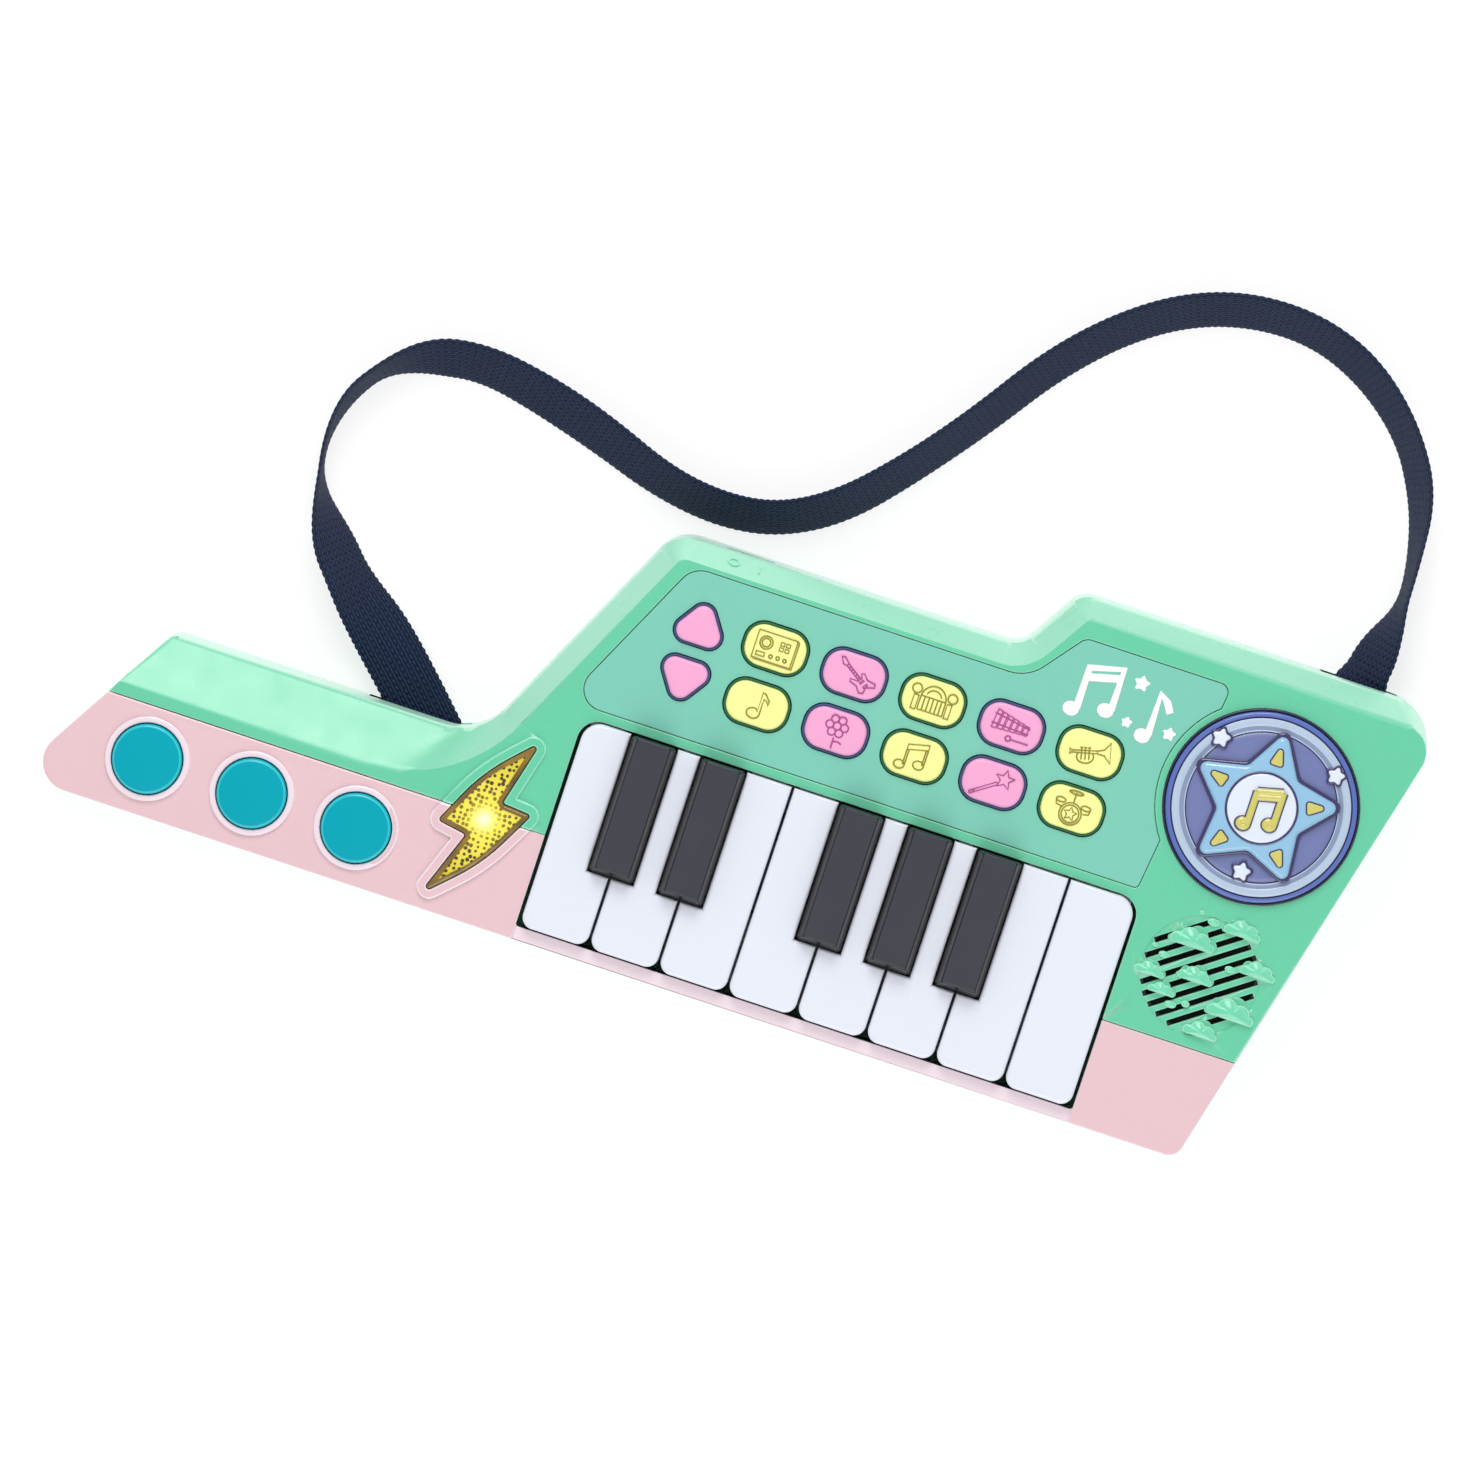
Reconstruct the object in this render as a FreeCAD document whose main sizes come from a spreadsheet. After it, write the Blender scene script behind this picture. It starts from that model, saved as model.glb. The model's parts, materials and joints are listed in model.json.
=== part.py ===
"""Toy keytar: a battery keyboard with a neck, a strap, 13 piano keys and 16 push buttons.

The part lies on its back. +X runs along the keys towards the speaker, +Y towards the strap side,
+Z out of the face. The origin is under the middle of the case, on the surface it lies on.
"""
import FreeCAD, Part
import math
import os
import re

import Sketcher

Vector = FreeCAD.Vector

# ---------------------------------------------------------------- driving dimensions (mm, degrees)

DIMENSIONS = {
    # case
    "overall_length": 424.0,
    "overall_width": 163.6,
    "parting_height": 15.0,
    "edge_height": 26.0,
    "face_height": 36.0,
    "wall": 2.0,
    "face_wall": 3.0,
    "bottom_chamfer": 2.0,
    "left_end_angle": 59.5,
    "right_end_angle": 76.4,
    "slant_angle": 64.3,
    "step_angle": 58.8,
    "nose_radius": 9.8,
    "shoulder_radius": 15.0,
    "neck_top_line": -23.3,
    "body_top_line": 59.7,
    "neck_corner_place": -80.3,
    "step_corner_place": 77.3,
    "body_bevel": 7.0,
    "neck_bevel": 19.2,
    "seam_line": -46.3,
    "seam_gap": 0.2,
    "strip_drop": 1.6,
    # keys
    "key_pitch": 23.5,
    "keybed_left": -49.05,
    "keybed_rear": -5.8,
    "keybed_margin": 0.8,
    "keybed_corner": 7.0,
    "key_gap": 0.9,
    "key_front": -76.6,
    "key_rear": -6.4,
    "key_bottom": 27.0,
    "white_key_top": 38.5,
    "white_corner": 4.0,
    "white_skin": 1.6,
    "black_key_width": 14.9,
    "black_top_width": 11.3,
    "black_key_front": -52.4,
    "black_key_bottom": 29.0,
    "black_shoulder": 38.8,
    "black_key_top": 44.0,
    "black_gap": 0.5,
    "hinge_line": 1.2,
    "hinge_height": 29.0,
    "rod_radius": 1.25,
    "rod_clearance": 0.05,
    "barrel_radius": 3.0,
    "barrel_inset": 1.5,
    "post_size": 3.0,
    "post_bottom": 25.1,
    "white_post_line": -38.8,
    "black_post_line": -28.8,
    # key chassis, board and mat
    "chassis_bottom": 17.0,
    "chassis_plate": 2.0,
    "ear_thickness": 1.9,
    "ear_front": 3.4,
    "ear_rear": 2.6,
    "key_board_thickness": 1.4,
    "mat_thickness": 1.0,
    "dome_radius": 3.0,
    "dome_height": 1.6,
    # control panel and its buttons
    "panel_thickness": 1.8,
    "panel_gap": 0.3,
    "mode_first_column": 1.95,
    "mode_column_pitch": 26.7,
    "mode_lower_row": 15.25,
    "mode_row_pitch": 19.05,
    "mode_ring_width": 21.6,
    "mode_ring_depth": 15.2,
    "mode_ring_corner": 6.6,
    "mode_cap_inset": 1.1,
    "button_hole_gap": 0.3,
    "button_ring_top": 36.5,
    "button_cap_top": 38.2,
    "button_flange": 1.8,
    "button_flange_bottom": 31.2,
    "button_flange_top": 32.8,
    "button_travel": 1.2,
    "volume_column": -23.3,
    "volume_up_centre": 35.8,
    "volume_down_centre": 14.0,
    "volume_half_width": 12.0,
    "volume_half_height": 8.9,
    "volume_corner": 4.4,
    "volume_flange": 0.7,
    # neck buttons
    "neck_first_button": -179.6,
    "neck_button_pitch": 35.5,
    "neck_button_line": -63.3,
    "neck_button_radius": 11.4,
    "neck_button_top": 39.2,
    "neck_hole_radius": 11.75,
    "collar_radius": 13.7,
    "collar_height": 1.2,
    # medallion
    "medallion_centre": 166.6,
    "medallion_line": 35.0,
    "medallion_seat_radius": 34.1,
    "medallion_ring_radius": 31.9,
    "medallion_radius": 30.9,
    "medallion_disc_radius": 26.0,
    "medallion_flange": 0.9,
    "medallion_rim_top": 38.4,
    "medallion_dome_top": 40.6,
    "ring_top": 36.8,
    # speaker
    "speaker_centre": 165.0,
    "speaker_line": -23.1,
    "grille_radius": 19.6,
    "grille_recess": 0.5,
    "slot_width": 1.95,
    "slot_pitch": 3.85,
    "slot_angle": 36.0,
    "cloud_height": 1.4,
    # bolt light
    "lens_top": 37.0,
    "lens_gap": 0.25,
    "lens_rim_width": 3.3,
    "bolt_bow_radius": 62.0,
    "lens_rim_height": 1.3,
    # rear shell, fasteners and batteries
    "boss_radius": 3.6,
    "screw_radius": 1.45,
    "screw_bore": 1.5,
    "screw_clearance_bore": 1.75,
    "screw_head_radius": 3.0,
    "counterbore_radius": 3.3,
    "counterbore_depth": 4.0,
    "screw_end": 24.0,
    "battery_box_left": -4.5,
    "battery_box_length": 60.0,
    "battery_box_front": 6.2,
    "battery_box_depth": 49.0,
    "battery_box_top": 18.5,
    "battery_radius": 7.2,
    "battery_length": 50.0,
    "door_gap": 0.3,
    # strap
    "strap_width": 20.0,
    "strap_thickness": 1.5,
    "strap_slot_bottom": 2.6,
    "neck_slot_height": 6.6,
    "body_slot_height": 12.4,
    "anchor_radius": 1.6,
    "anchor_length": 28.0,
    "anchor_play": 0.15,
    # power switch
    "switch_off_place": -19.5,
    "switch_travel": 8.7,
    "switch_height": 20.0,
    "switch_knob_width": 7.0,
    "switch_knob_tall": 4.4,
}

doc = FreeCAD.newDocument("toy_keytar")
sheet = doc.addObject("Spreadsheet::Sheet", "dimensions")
for row, (alias, number) in enumerate(DIMENSIONS.items(), start=1):
    sheet.set(f"A{row}", alias)
    sheet.set(f"B{row}", str(number))
    sheet.setAlias(f"B{row}", alias)
doc.recompute()


def size(alias):
    """The number that a cell of the sheet holds."""
    return float(sheet.get(alias))


def bound(text):
    """An expression in which every plain name stands for a cell of the sheet."""
    return re.sub(r"[a-z][a-z_]+", r"dimensions.\g<0>", str(text))


def worth(text):
    """The present value of such an expression."""
    return float(sheet.evalExpression(bound(text)))


# ------------------------------------------------------------------------------- plane geometry


def meet(point_a, angle_a, point_b, angle_b):
    """Where two lines, each given by a point and a direction in degrees, cross."""
    ax, ay = point_a
    bx, by = point_b
    ux, uy = math.cos(math.radians(angle_a)), math.sin(math.radians(angle_a))
    vx, vy = math.cos(math.radians(angle_b)), math.sin(math.radians(angle_b))
    along = ((bx - ax) * vy - (by - ay) * vx) / (ux * vy - uy * vx)
    return ax + along * ux, ay + along * uy


def beside(point, angle, distance):
    """A point moved at right angles to a direction, to its right when the distance is positive."""
    turned = math.radians(angle - 90)
    return point[0] + distance * math.cos(turned), point[1] + distance * math.sin(turned)


def corner_turn(corners, index):
    """The directions into and out of a corner, in degrees, and the signed turn between them."""
    before, here, after = corners[index - 1], corners[index], corners[(index + 1) % len(corners)]
    arriving = math.degrees(math.atan2(here[1] - before[1], here[0] - before[0]))
    leaving = math.degrees(math.atan2(after[1] - here[1], after[0] - here[0]))
    return arriving, leaving, (leaving - arriving + 180) % 360 - 180


def grown(corners, distance, least_radius=0.3):
    """The counter-clockwise outline moved outwards by a distance, or inwards when it is negative."""
    moved = []
    for index, (x, y, radius) in enumerate(corners):
        arriving, leaving, turn = corner_turn(corners, index)
        here = meet(beside((x, y), arriving, distance), arriving, beside((x, y), leaving, distance), leaving)
        bend = radius + distance if turn > 0 else radius - distance
        moved.append((here[0], here[1], max(bend, least_radius)))
    return moved


def outline_edges(corners, height=0.0):
    """Lines and tangent arcs round an outline of (x, y, radius) corners."""
    spans = []
    for index, (x, y, radius) in enumerate(corners):
        arriving, leaving, turn = corner_turn(corners, index)
        reach = radius * math.tan(math.radians(abs(turn) / 2))
        into, out = math.radians(arriving), math.radians(leaving)
        start = Vector(x - reach * math.cos(into), y - reach * math.sin(into), height)
        end = Vector(x + reach * math.cos(out), y + reach * math.sin(out), height)
        inward = math.radians(arriving + turn / 2 + (90 if turn > 0 else -90))
        deep = radius / math.cos(math.radians(turn / 2)) - radius
        middle = Vector(x + deep * math.cos(inward), y + deep * math.sin(inward), height)
        spans.append((start, middle, end))
    edges = []
    for index, (start, middle, end) in enumerate(spans):
        edges.append(Part.LineSegment(spans[index - 1][2], start))
        edges.append(Part.Arc(start, middle, end))
    return edges


def case_corners():
    """The outline of the case seen from the front, counter-clockwise from its lower left nose."""
    half_length, half_width = size("overall_length") / 2, size("overall_width") / 2
    left, right = size("left_end_angle"), size("right_end_angle")
    slant, step = size("slant_angle"), size("step_angle")
    nose_radius, shoulder_radius = size("nose_radius"), size("shoulder_radius")
    nose_reach = nose_radius * math.tan(math.radians(180 - left) / 2)
    shoulder_reach = shoulder_radius * math.tan(math.radians(180 - right) / 2)
    nose = (-half_length - nose_reach + nose_radius, -half_width)
    shoulder = (half_length + shoulder_reach - shoulder_radius, half_width)
    neck = (size("neck_corner_place"), size("neck_top_line"))
    foot = (size("step_corner_place"), size("body_top_line"))
    return [
        (*nose, nose_radius),
        (*meet(nose, 0, shoulder, right), 5.0),
        (*shoulder, shoulder_radius),
        (*meet(foot, step, shoulder, 0), 8.0),
        (*foot, 8.0),
        (*meet(neck, slant, foot, 0), 13.0),
        (*neck, 18.0),
        (*meet(nose, left, neck, 0), 4.0),
    ]


def face_corners():
    """The outline of the flat face: the case outline drawn in by the bevel along its upper edges."""
    nose, heel, shoulder, brow, foot, cheek, neck, tip = case_corners()
    left, right = size("left_end_angle"), size("right_end_angle")
    slant, step = size("slant_angle"), size("step_angle")
    top = (0, size("overall_width") / 2 - size("body_bevel"))
    body_top = (0, size("body_top_line") - size("body_bevel"))
    neck_top = (0, size("neck_top_line") - size("neck_bevel"))
    step_line = beside(foot[:2], step, size("body_bevel"))
    slant_line = beside(neck[:2], slant, size("body_bevel"))
    return [
        nose,
        heel,
        (*meet(top, 0, shoulder[:2], right), 9.0),
        (*meet(step_line, step, top, 0), 1.5),
        (*meet(step_line, step, body_top, 0), 17.0),
        (*meet(slant_line, slant, body_top, 0), 4.0),
        (*meet(slant_line, slant, neck_top, 0), 49.5),
        (*meet(nose[:2], left, neck_top, 0), 1.0),
    ]


def panel_corners():
    """The control panel insert: a slanted nose on the left and a step up towards the medallion."""
    slant = size("slant_angle")
    nose = (-57.0, -2.4)
    foot = (82.0, 50.9)
    return [
        (*nose, 7.0),
        (137.0, -2.4, 1.5),
        (145.2, 68.8, 3.0),
        (*meet(foot, 52.0, (0, 68.8), 0), 4.0),
        (*foot, 13.0),
        (*meet(nose, slant, foot, 0), 8.0),
    ]


def volume_corners(points_up):
    """A rounded triangle about its own middle, pointing up or down."""
    half_width, radius = size("volume_half_width"), size("volume_corner")
    half_height = size("volume_half_height")
    flip = 1 if points_up else -1
    corners = [(-half_width, -flip * half_height, radius), (half_width, -flip * half_height, radius)]
    corners.append((0.0, flip * half_height, radius))
    return corners if points_up else corners[::-1]


def bolt_corners():
    """The lightning bolt: two blades with bowed outer edges, joined across the middle."""
    bow = size("bolt_bow_radius")
    return [
        (-60.5, -18.4, 0.8),
        (-75.0, -33.4, bow),
        (-84.0, -52.3, 0.8),
        (-73.9, -54.0, 1.0),
        (-82.2, -76.8, 0.8),
        (-66.4, -61.3, bow),
        (-56.2, -41.8, 0.8),
        (-66.3, -41.0, 1.0),
    ]


def box_corners(left, front, length, depth, radius=0.5):
    """A rectangle with rounded corners."""
    return [
        (left, front, radius),
        (left + length, front, radius),
        (left + length, front + depth, radius),
        (left, front + depth, radius),
    ]


def rounded_box_about(length, depth, radius):
    """A rounded rectangle about the origin."""
    return box_corners(-length / 2, -depth / 2, length, depth, radius)


# ------------------------------------------------------------------------- bodies and features


def new_body(name, x="0", y="0", z="0"):
    """A PartDesign body whose place is bound to the sheet."""
    body = doc.addObject("PartDesign::Body", name)
    body.Label = name
    for axis, place in zip("xyz", (x, y, z)):
        body.setExpression(f"Placement.Base.{axis}", bound(place))
    return body


def new_sketch(body, name, height="0", plane="XY_Plane"):
    """A sketch on one of the body's own origin planes, raised to a height."""
    sketch = body.newObject("Sketcher::SketchObject", name)
    support = next(item for item in body.Origin.OriginFeatures if item.Role == plane)
    sketch.AttachmentSupport = (support, [""])
    sketch.MapMode = "FlatFace"
    sketch.setExpression("AttachmentOffset.Base.z", bound(height))
    return sketch


def locate(sketch, geometry, point, x, y):
    """Ties a point of a sketch to a place given by two expressions."""
    for kind, place, axis in (("DistanceX", x, -2), ("DistanceY", y, -1)):
        if abs(worth(place)) < 1e-9:
            sketch.addConstraint(Sketcher.Constraint("PointOnObject", geometry, point, axis))
            continue
        constraint = Sketcher.Constraint(kind, -1, 1, geometry, point, worth(place))
        index = sketch.addConstraint(constraint)
        sketch.setExpression(f"Constraints[{index}]", bound(place))


def draw_circle(sketch, x, y, radius):
    """A circle whose centre and radius are bound to the sheet."""
    circle = Part.Circle(Vector(worth(x), worth(y), 0), Vector(0, 0, 1), worth(radius))
    geometry = sketch.addGeometry(circle, False)
    index = sketch.addConstraint(Sketcher.Constraint("Radius", geometry, worth(radius)))
    sketch.setExpression(f"Constraints[{index}]", bound(radius))
    locate(sketch, geometry, 3, x, y)


def draw_box(sketch, left, front, length, depth):
    """A rectangle whose lower left corner and two sides are bound to the sheet."""
    x, y, across, up = worth(left), worth(front), worth(length), worth(depth)
    points = [Vector(x, y, 0), Vector(x + across, y, 0), Vector(x + across, y + up, 0), Vector(x, y + up, 0)]
    first = len(sketch.Geometry)
    for index in range(4):
        sketch.addGeometry(Part.LineSegment(points[index], points[(index + 1) % 4]), False)
    for index in range(4):
        following = first + (index + 1) % 4
        sketch.addConstraint(Sketcher.Constraint("Coincident", first + index, 2, following, 1))
        direction = "Horizontal" if index % 2 == 0 else "Vertical"
        sketch.addConstraint(Sketcher.Constraint(direction, first + index))
    for kind, geometry, extent in (("DistanceX", first, length), ("DistanceY", first + 1, depth)):
        index = sketch.addConstraint(Sketcher.Constraint(kind, geometry, 1, geometry, 2, worth(extent)))
        sketch.setExpression(f"Constraints[{index}]", bound(extent))
    locate(sketch, first, 1, left, front)


def draw_edges(sketch, edges):
    """A closed run of lines and arcs, each tied to the next."""
    first = len(sketch.Geometry)
    kept = [edge for edge in edges if edge.length() > 1e-4]
    for edge in kept:
        sketch.addGeometry(edge, False)
    for index, edge in enumerate(kept):
        end = sketch.getPoint(first + index, 2)
        following = first + (index + 1) % len(kept)
        near = 1 if (sketch.getPoint(following, 1) - end).Length < 1e-4 else 2
        here = 2
        if near == 2 and (sketch.getPoint(following, 2) - end).Length > 1e-4:
            here = 1
            start = sketch.getPoint(first + index, 1)
            near = 1 if (sketch.getPoint(following, 1) - start).Length < 1e-4 else 2
        sketch.addConstraint(Sketcher.Constraint("Coincident", first + index, here, following, near))


def draw_outline(sketch, corners):
    """An outline of rounded corners."""
    draw_edges(sketch, outline_edges(corners))


def raise_up(body, name, bottom, height, draw):
    """A pad upwards from a height, of what the draw function puts in its sketch."""
    sketch = new_sketch(body, name + "_sketch", bottom)
    draw(sketch)
    pad = body.newObject("PartDesign::Pad", name)
    pad.Profile = sketch
    pad.setExpression("Length", bound(height))
    doc.recompute()
    return pad


def cut_down(body, name, top, depth, draw):
    """A pocket downwards from a height."""
    before = body.Shape.Volume
    sketch = new_sketch(body, name + "_sketch", top)
    draw(sketch)
    pocket = body.newObject("PartDesign::Pocket", name)
    pocket.Profile = sketch
    pocket.setExpression("Length", bound(depth))
    doc.recompute()
    if body.Shape.Volume > before - 0.01:
        raise RuntimeError(f"{body.Label}: {name} cuts nothing")
    return pocket


def loft_between(body, name, kind, low, low_corners, high, high_corners):
    """A ruled loft, added or taken away, between outlines at two heights."""
    lower = new_sketch(body, name + "_lower", low)
    draw_outline(lower, low_corners)
    upper = new_sketch(body, name + "_upper", high)
    draw_outline(upper, high_corners)
    loft = body.newObject("PartDesign::" + kind, name)
    loft.Profile = lower
    loft.Sections = [upper]
    loft.Ruled = True
    doc.recompute()
    return loft


def revolve(body, name, points, kind="Revolution"):
    """A full turn about the body's own Z axis of a closed profile of (radius, height) points."""
    sketch = new_sketch(body, name + "_sketch", "0", "XZ_Plane")
    corners = [Vector(radius, height, 0) for radius, height in points]
    edges = [Part.LineSegment(corners[i], corners[(i + 1) % len(corners)]) for i in range(len(corners))]
    draw_edges(sketch, edges)
    feature = body.newObject("PartDesign::" + kind, name)
    feature.Profile = sketch
    feature.ReferenceAxis = (sketch, ["V_Axis"])
    feature.Angle = 360
    doc.recompute()
    return feature


def bore_along_x(body, name, y, z, radius, left, length, kind="Pocket"):
    """A round hole or a round bar along X, from one place for a length."""
    sketch = new_sketch(body, name + "_sketch", left, "YZ_Plane")
    draw_circle(sketch, y, z, radius)
    feature = body.newObject("PartDesign::" + kind, name)
    feature.Profile = sketch
    feature.setExpression("Length", bound(length))
    if kind == "Pocket":
        feature.Reversed = True
    doc.recompute()
    return feature


def round_upright_edges(body, name, radius, chosen):
    """A fillet on the upright edges whose place in the plane passes a test."""
    base = body.Tip
    names = []
    for index, edge in enumerate(base.Shape.Edges, start=1):
        low, high = edge.Vertexes[0].Point, edge.Vertexes[-1].Point
        upright = abs(low.x - high.x) < 1e-6 and abs(low.y - high.y) < 1e-6 and abs(low.z - high.z) > 1
        if upright and chosen(low.x, low.y):
            names.append(f"Edge{index}")
    fillet = body.newObject("PartDesign::Fillet", name)
    fillet.Base = (base, names)
    fillet.setExpression("Radius", bound(radius))
    doc.recompute()
    return fillet


# --------------------------------------------------------------------------------- case parts

MEDALLION_PLACE = ("medallion_centre", "medallion_line")
DOOR_SCREW_PLACE = ("battery_box_left + battery_box_length + 5.5", "battery_box_front + 21")
FRONT_POSTS = [(-46.0, 13.2), (104.0, 70.4), (200.0, 48.0), (183.0, 0.2)]
COVER_POSTS = [(-161.8, -51.6), (-126.2, -52.4), (-59.0, -64.8), (168.0, -72.8)]
CLOUDS = [
    (-5.6, 8.0, 7.2), (8.8, 16.1, 6.0), (17.6, 5.1, 5.8), (-1.2, -2.4, 5.6),
    (-15.8, -4.7, 4.8), (-10.2, -9.4, 4.3), (13.4, -10.6, 7.7), (6.0, -18.8, 5.6),
]


def upper_casing(name):
    """The hollow upper half of the case, bevelled along its upper edges, before it is divided."""
    body = new_body(name)
    case, face = case_corners(), face_corners()
    wall = size("wall")
    raise_up(body, "side_wall", "parting_height", "edge_height - parting_height",
             lambda sketch: draw_outline(sketch, case))
    loft_between(body, "bevel", "AdditiveLoft", "edge_height", case, "face_height", face)
    cut_down(body, "hollow", "edge_height - wall / 2", "edge_height - wall / 2 - parting_height",
             lambda sketch: draw_outline(sketch, grown(case, -wall)))
    loft_between(body, "upper_hollow", "SubtractiveLoft", "edge_height - wall / 2", grown(case, -wall),
                 "face_height - face_wall", grown(face, -wall))
    return body


def draw_strip(sketch, front, rear):
    """A wide rectangle right across the case, between two lines given by expressions."""
    draw_box(sketch, "-overall_length", front, "overall_length * 2", f"({rear}) - ({front})")


def cut_keybed(body):
    """The opening that the keys stand in."""
    margin = size("keybed_margin")
    left, front = size("keybed_left") - margin, size("key_front") - margin
    length, depth = size("key_pitch") * 8 + 2 * margin, size("keybed_rear") - front
    corners = box_corners(left, front, length, depth, size("keybed_corner"))
    corners[0] = (*corners[0][:2], 1.0)
    corners[1] = (*corners[1][:2], 1.0)
    cut_down(body, "keybed", "black_key_top", "black_key_top - parting_height",
             lambda sketch: draw_outline(sketch, corners))


def add_posts(body, places):
    """Screw posts down from the face, with a blind pilot bore from below."""
    for number, (x, y) in enumerate(places, start=1):
        raise_up(body, f"post_{number}", "parting_height", "face_height - face_wall / 2 - parting_height",
                 lambda sketch, x=x, y=y: draw_circle(sketch, x, y, "boss_radius"))
        cut_down(body, f"pilot_{number}", "screw_end + 1", "screw_end + 1 - parting_height",
                 lambda sketch, x=x, y=y: draw_circle(sketch, x, y, "screw_bore"))


def add_bolt_seat(body):
    """The raised rim round the bolt lens, and the opening for the lens."""
    lens = grown(bolt_corners(), size("lens_gap"))
    rim = grown(bolt_corners(), size("lens_rim_width"))
    raise_up(body, "lens_rim", "face_height - face_wall / 2", "face_wall / 2 + lens_rim_height",
             lambda sketch: draw_outline(sketch, rim))
    cut_down(body, "lens_opening", "black_key_top", "black_key_top - edge_height",
             lambda sketch: draw_outline(sketch, lens))


def front_shell():
    """The green upper casing: panel recess, button holes, medallion seat and speaker grille."""
    body = upper_casing("front_shell")
    add_posts(body, FRONT_POSTS)
    add_bolt_seat(body)
    cut_down(body, "below_seam", "black_key_top", "black_key_top",
             lambda sketch: draw_strip(sketch, "-overall_width", "seam_line"))
    cut_keybed(body)
    recess = grown(panel_corners(), size("panel_gap"))
    cut_down(body, "panel_recess", "face_height", "panel_thickness",
             lambda sketch: draw_outline(sketch, recess))
    raise_up(body, "medallion_seat", "face_height - face_wall", "face_wall",
             lambda sketch: draw_circle(sketch, *MEDALLION_PLACE, "medallion_seat_radius"))
    cut_down(body, "medallion_opening", "face_height", "face_wall",
             lambda sketch: draw_circle(sketch, *MEDALLION_PLACE, "medallion_ring_radius"))
    cut_button_holes(body, "face_height", "face_wall + 0.2")
    cut_down(body, "grille_recess", "face_height", "grille_recess",
             lambda sketch: draw_circle(sketch, "speaker_centre", "speaker_line", "grille_radius"))
    cut_down(body, "grille_slots", "face_height", "face_wall + 0.2", draw_grille_slots)
    for number, (x, y, half_width) in enumerate(CLOUDS, start=1):
        raise_up(body, f"cloud_{number}", "face_height - grille_recess - 1",
                 "1 + grille_recess + cloud_height",
                 lambda sketch, x=x, y=y, w=half_width: draw_edges(sketch, cloud_edges(x, y, w)))
    window = "switch_off_place - switch_knob_width / 2 - 0.3"
    cut_switch_window(body, window, "switch_travel + switch_knob_width + 0.6")
    return body


def draw_grille_slots(sketch):
    """Slanted slots, each as long as the round grille lets it be."""
    centre_x, centre_y = size("speaker_centre"), size("speaker_line")
    radius = size("grille_radius") - 0.3
    tilt = math.radians(size("slot_angle"))
    along = Vector(math.cos(tilt), math.sin(tilt), 0)
    across = Vector(-math.sin(tilt), math.cos(tilt), 0)
    half_slot = size("slot_width") / 2
    for number in range(-4, 5):
        offset = number * size("slot_pitch")
        half_length = math.sqrt(radius ** 2 - (abs(offset) + half_slot) ** 2)
        middle = Vector(centre_x, centre_y, 0) + across * offset
        points = [
            middle + along * (end * half_length) + across * (side * half_slot)
            for end, side in ((-1, -1), (1, -1), (1, 1), (-1, 1))
        ]
        draw_edges(sketch, [Part.LineSegment(points[i], points[(i + 1) % 4]) for i in range(4)])


def cloud_edges(x, y, half_width):
    """A small cloud with a flat base and four puffs, placed from the middle of the grille."""
    base = Vector(size("speaker_centre") + x, size("speaker_line") + y, 0)
    puffs = [
        ((1.0, 0.0), (1.1, 0.4), (0.62, 0.5)),
        ((0.62, 0.5), (0.2, 1.02), (-0.32, 0.6)),
        ((-0.32, 0.6), (-0.78, 0.72), (-0.86, 0.28)),
        ((-0.86, 0.28), (-1.12, 0.18), (-1.0, 0.0)),
    ]

    def at(point):
        return base + Vector(point[0] * half_width, point[1] * half_width, 0)

    edges = [Part.LineSegment(at((-1.0, 0.0)), at((1.0, 0.0)))]
    for start, middle, end in puffs:
        edges.append(Part.Arc(at(start), at(middle), at(end)))
    return edges


def mode_places():
    """Expressions for the centre of each mode button, upper row first."""
    places = []
    for row in (1, 0):
        for column in range(5):
            x = f"mode_first_column + {column} * mode_column_pitch"
            places.append((x, f"mode_lower_row + {row} * mode_row_pitch"))
    return places


def shifted(corners, x, y):
    """An outline moved in the plane."""
    return [(cx + x, cy + y, radius) for cx, cy, radius in corners]


def mode_ring_corners(extra=0.0):
    """The outside of a mode button's ring, about its own middle, grown by an amount."""
    ring = rounded_box_about(size("mode_ring_width"), size("mode_ring_depth"), size("mode_ring_corner"))
    return grown(ring, extra)


def cut_button_holes(body, top, depth):
    """The twelve openings for the mode and volume buttons."""
    gap = size("button_hole_gap")

    def draw(sketch):
        for x, y in mode_places():
            draw_outline(sketch, shifted(mode_ring_corners(gap), worth(x), worth(y)))
        for up, line in ((True, "volume_up_centre"), (False, "volume_down_centre")):
            hole = grown(volume_corners(up), gap)
            draw_outline(sketch, shifted(hole, size("volume_column"), size(line)))

    cut_down(body, "button_holes", top, depth, draw)


def cut_switch_window(body, left, length):
    """The window for the power switch knob, through the wall at the top of the body."""
    sketch = new_sketch(body, "switch_window_sketch", "-body_top_line - 1", "XZ_Plane")
    draw_box(sketch, left, "switch_height - switch_knob_tall / 2 - 0.3", length, "switch_knob_tall + 0.6")
    pocket = body.newObject("PartDesign::Pocket", "switch_window")
    pocket.Profile = sketch
    pocket.Reversed = True
    pocket.setExpression("Length", bound("wall + 2"))
    doc.recompute()


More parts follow.
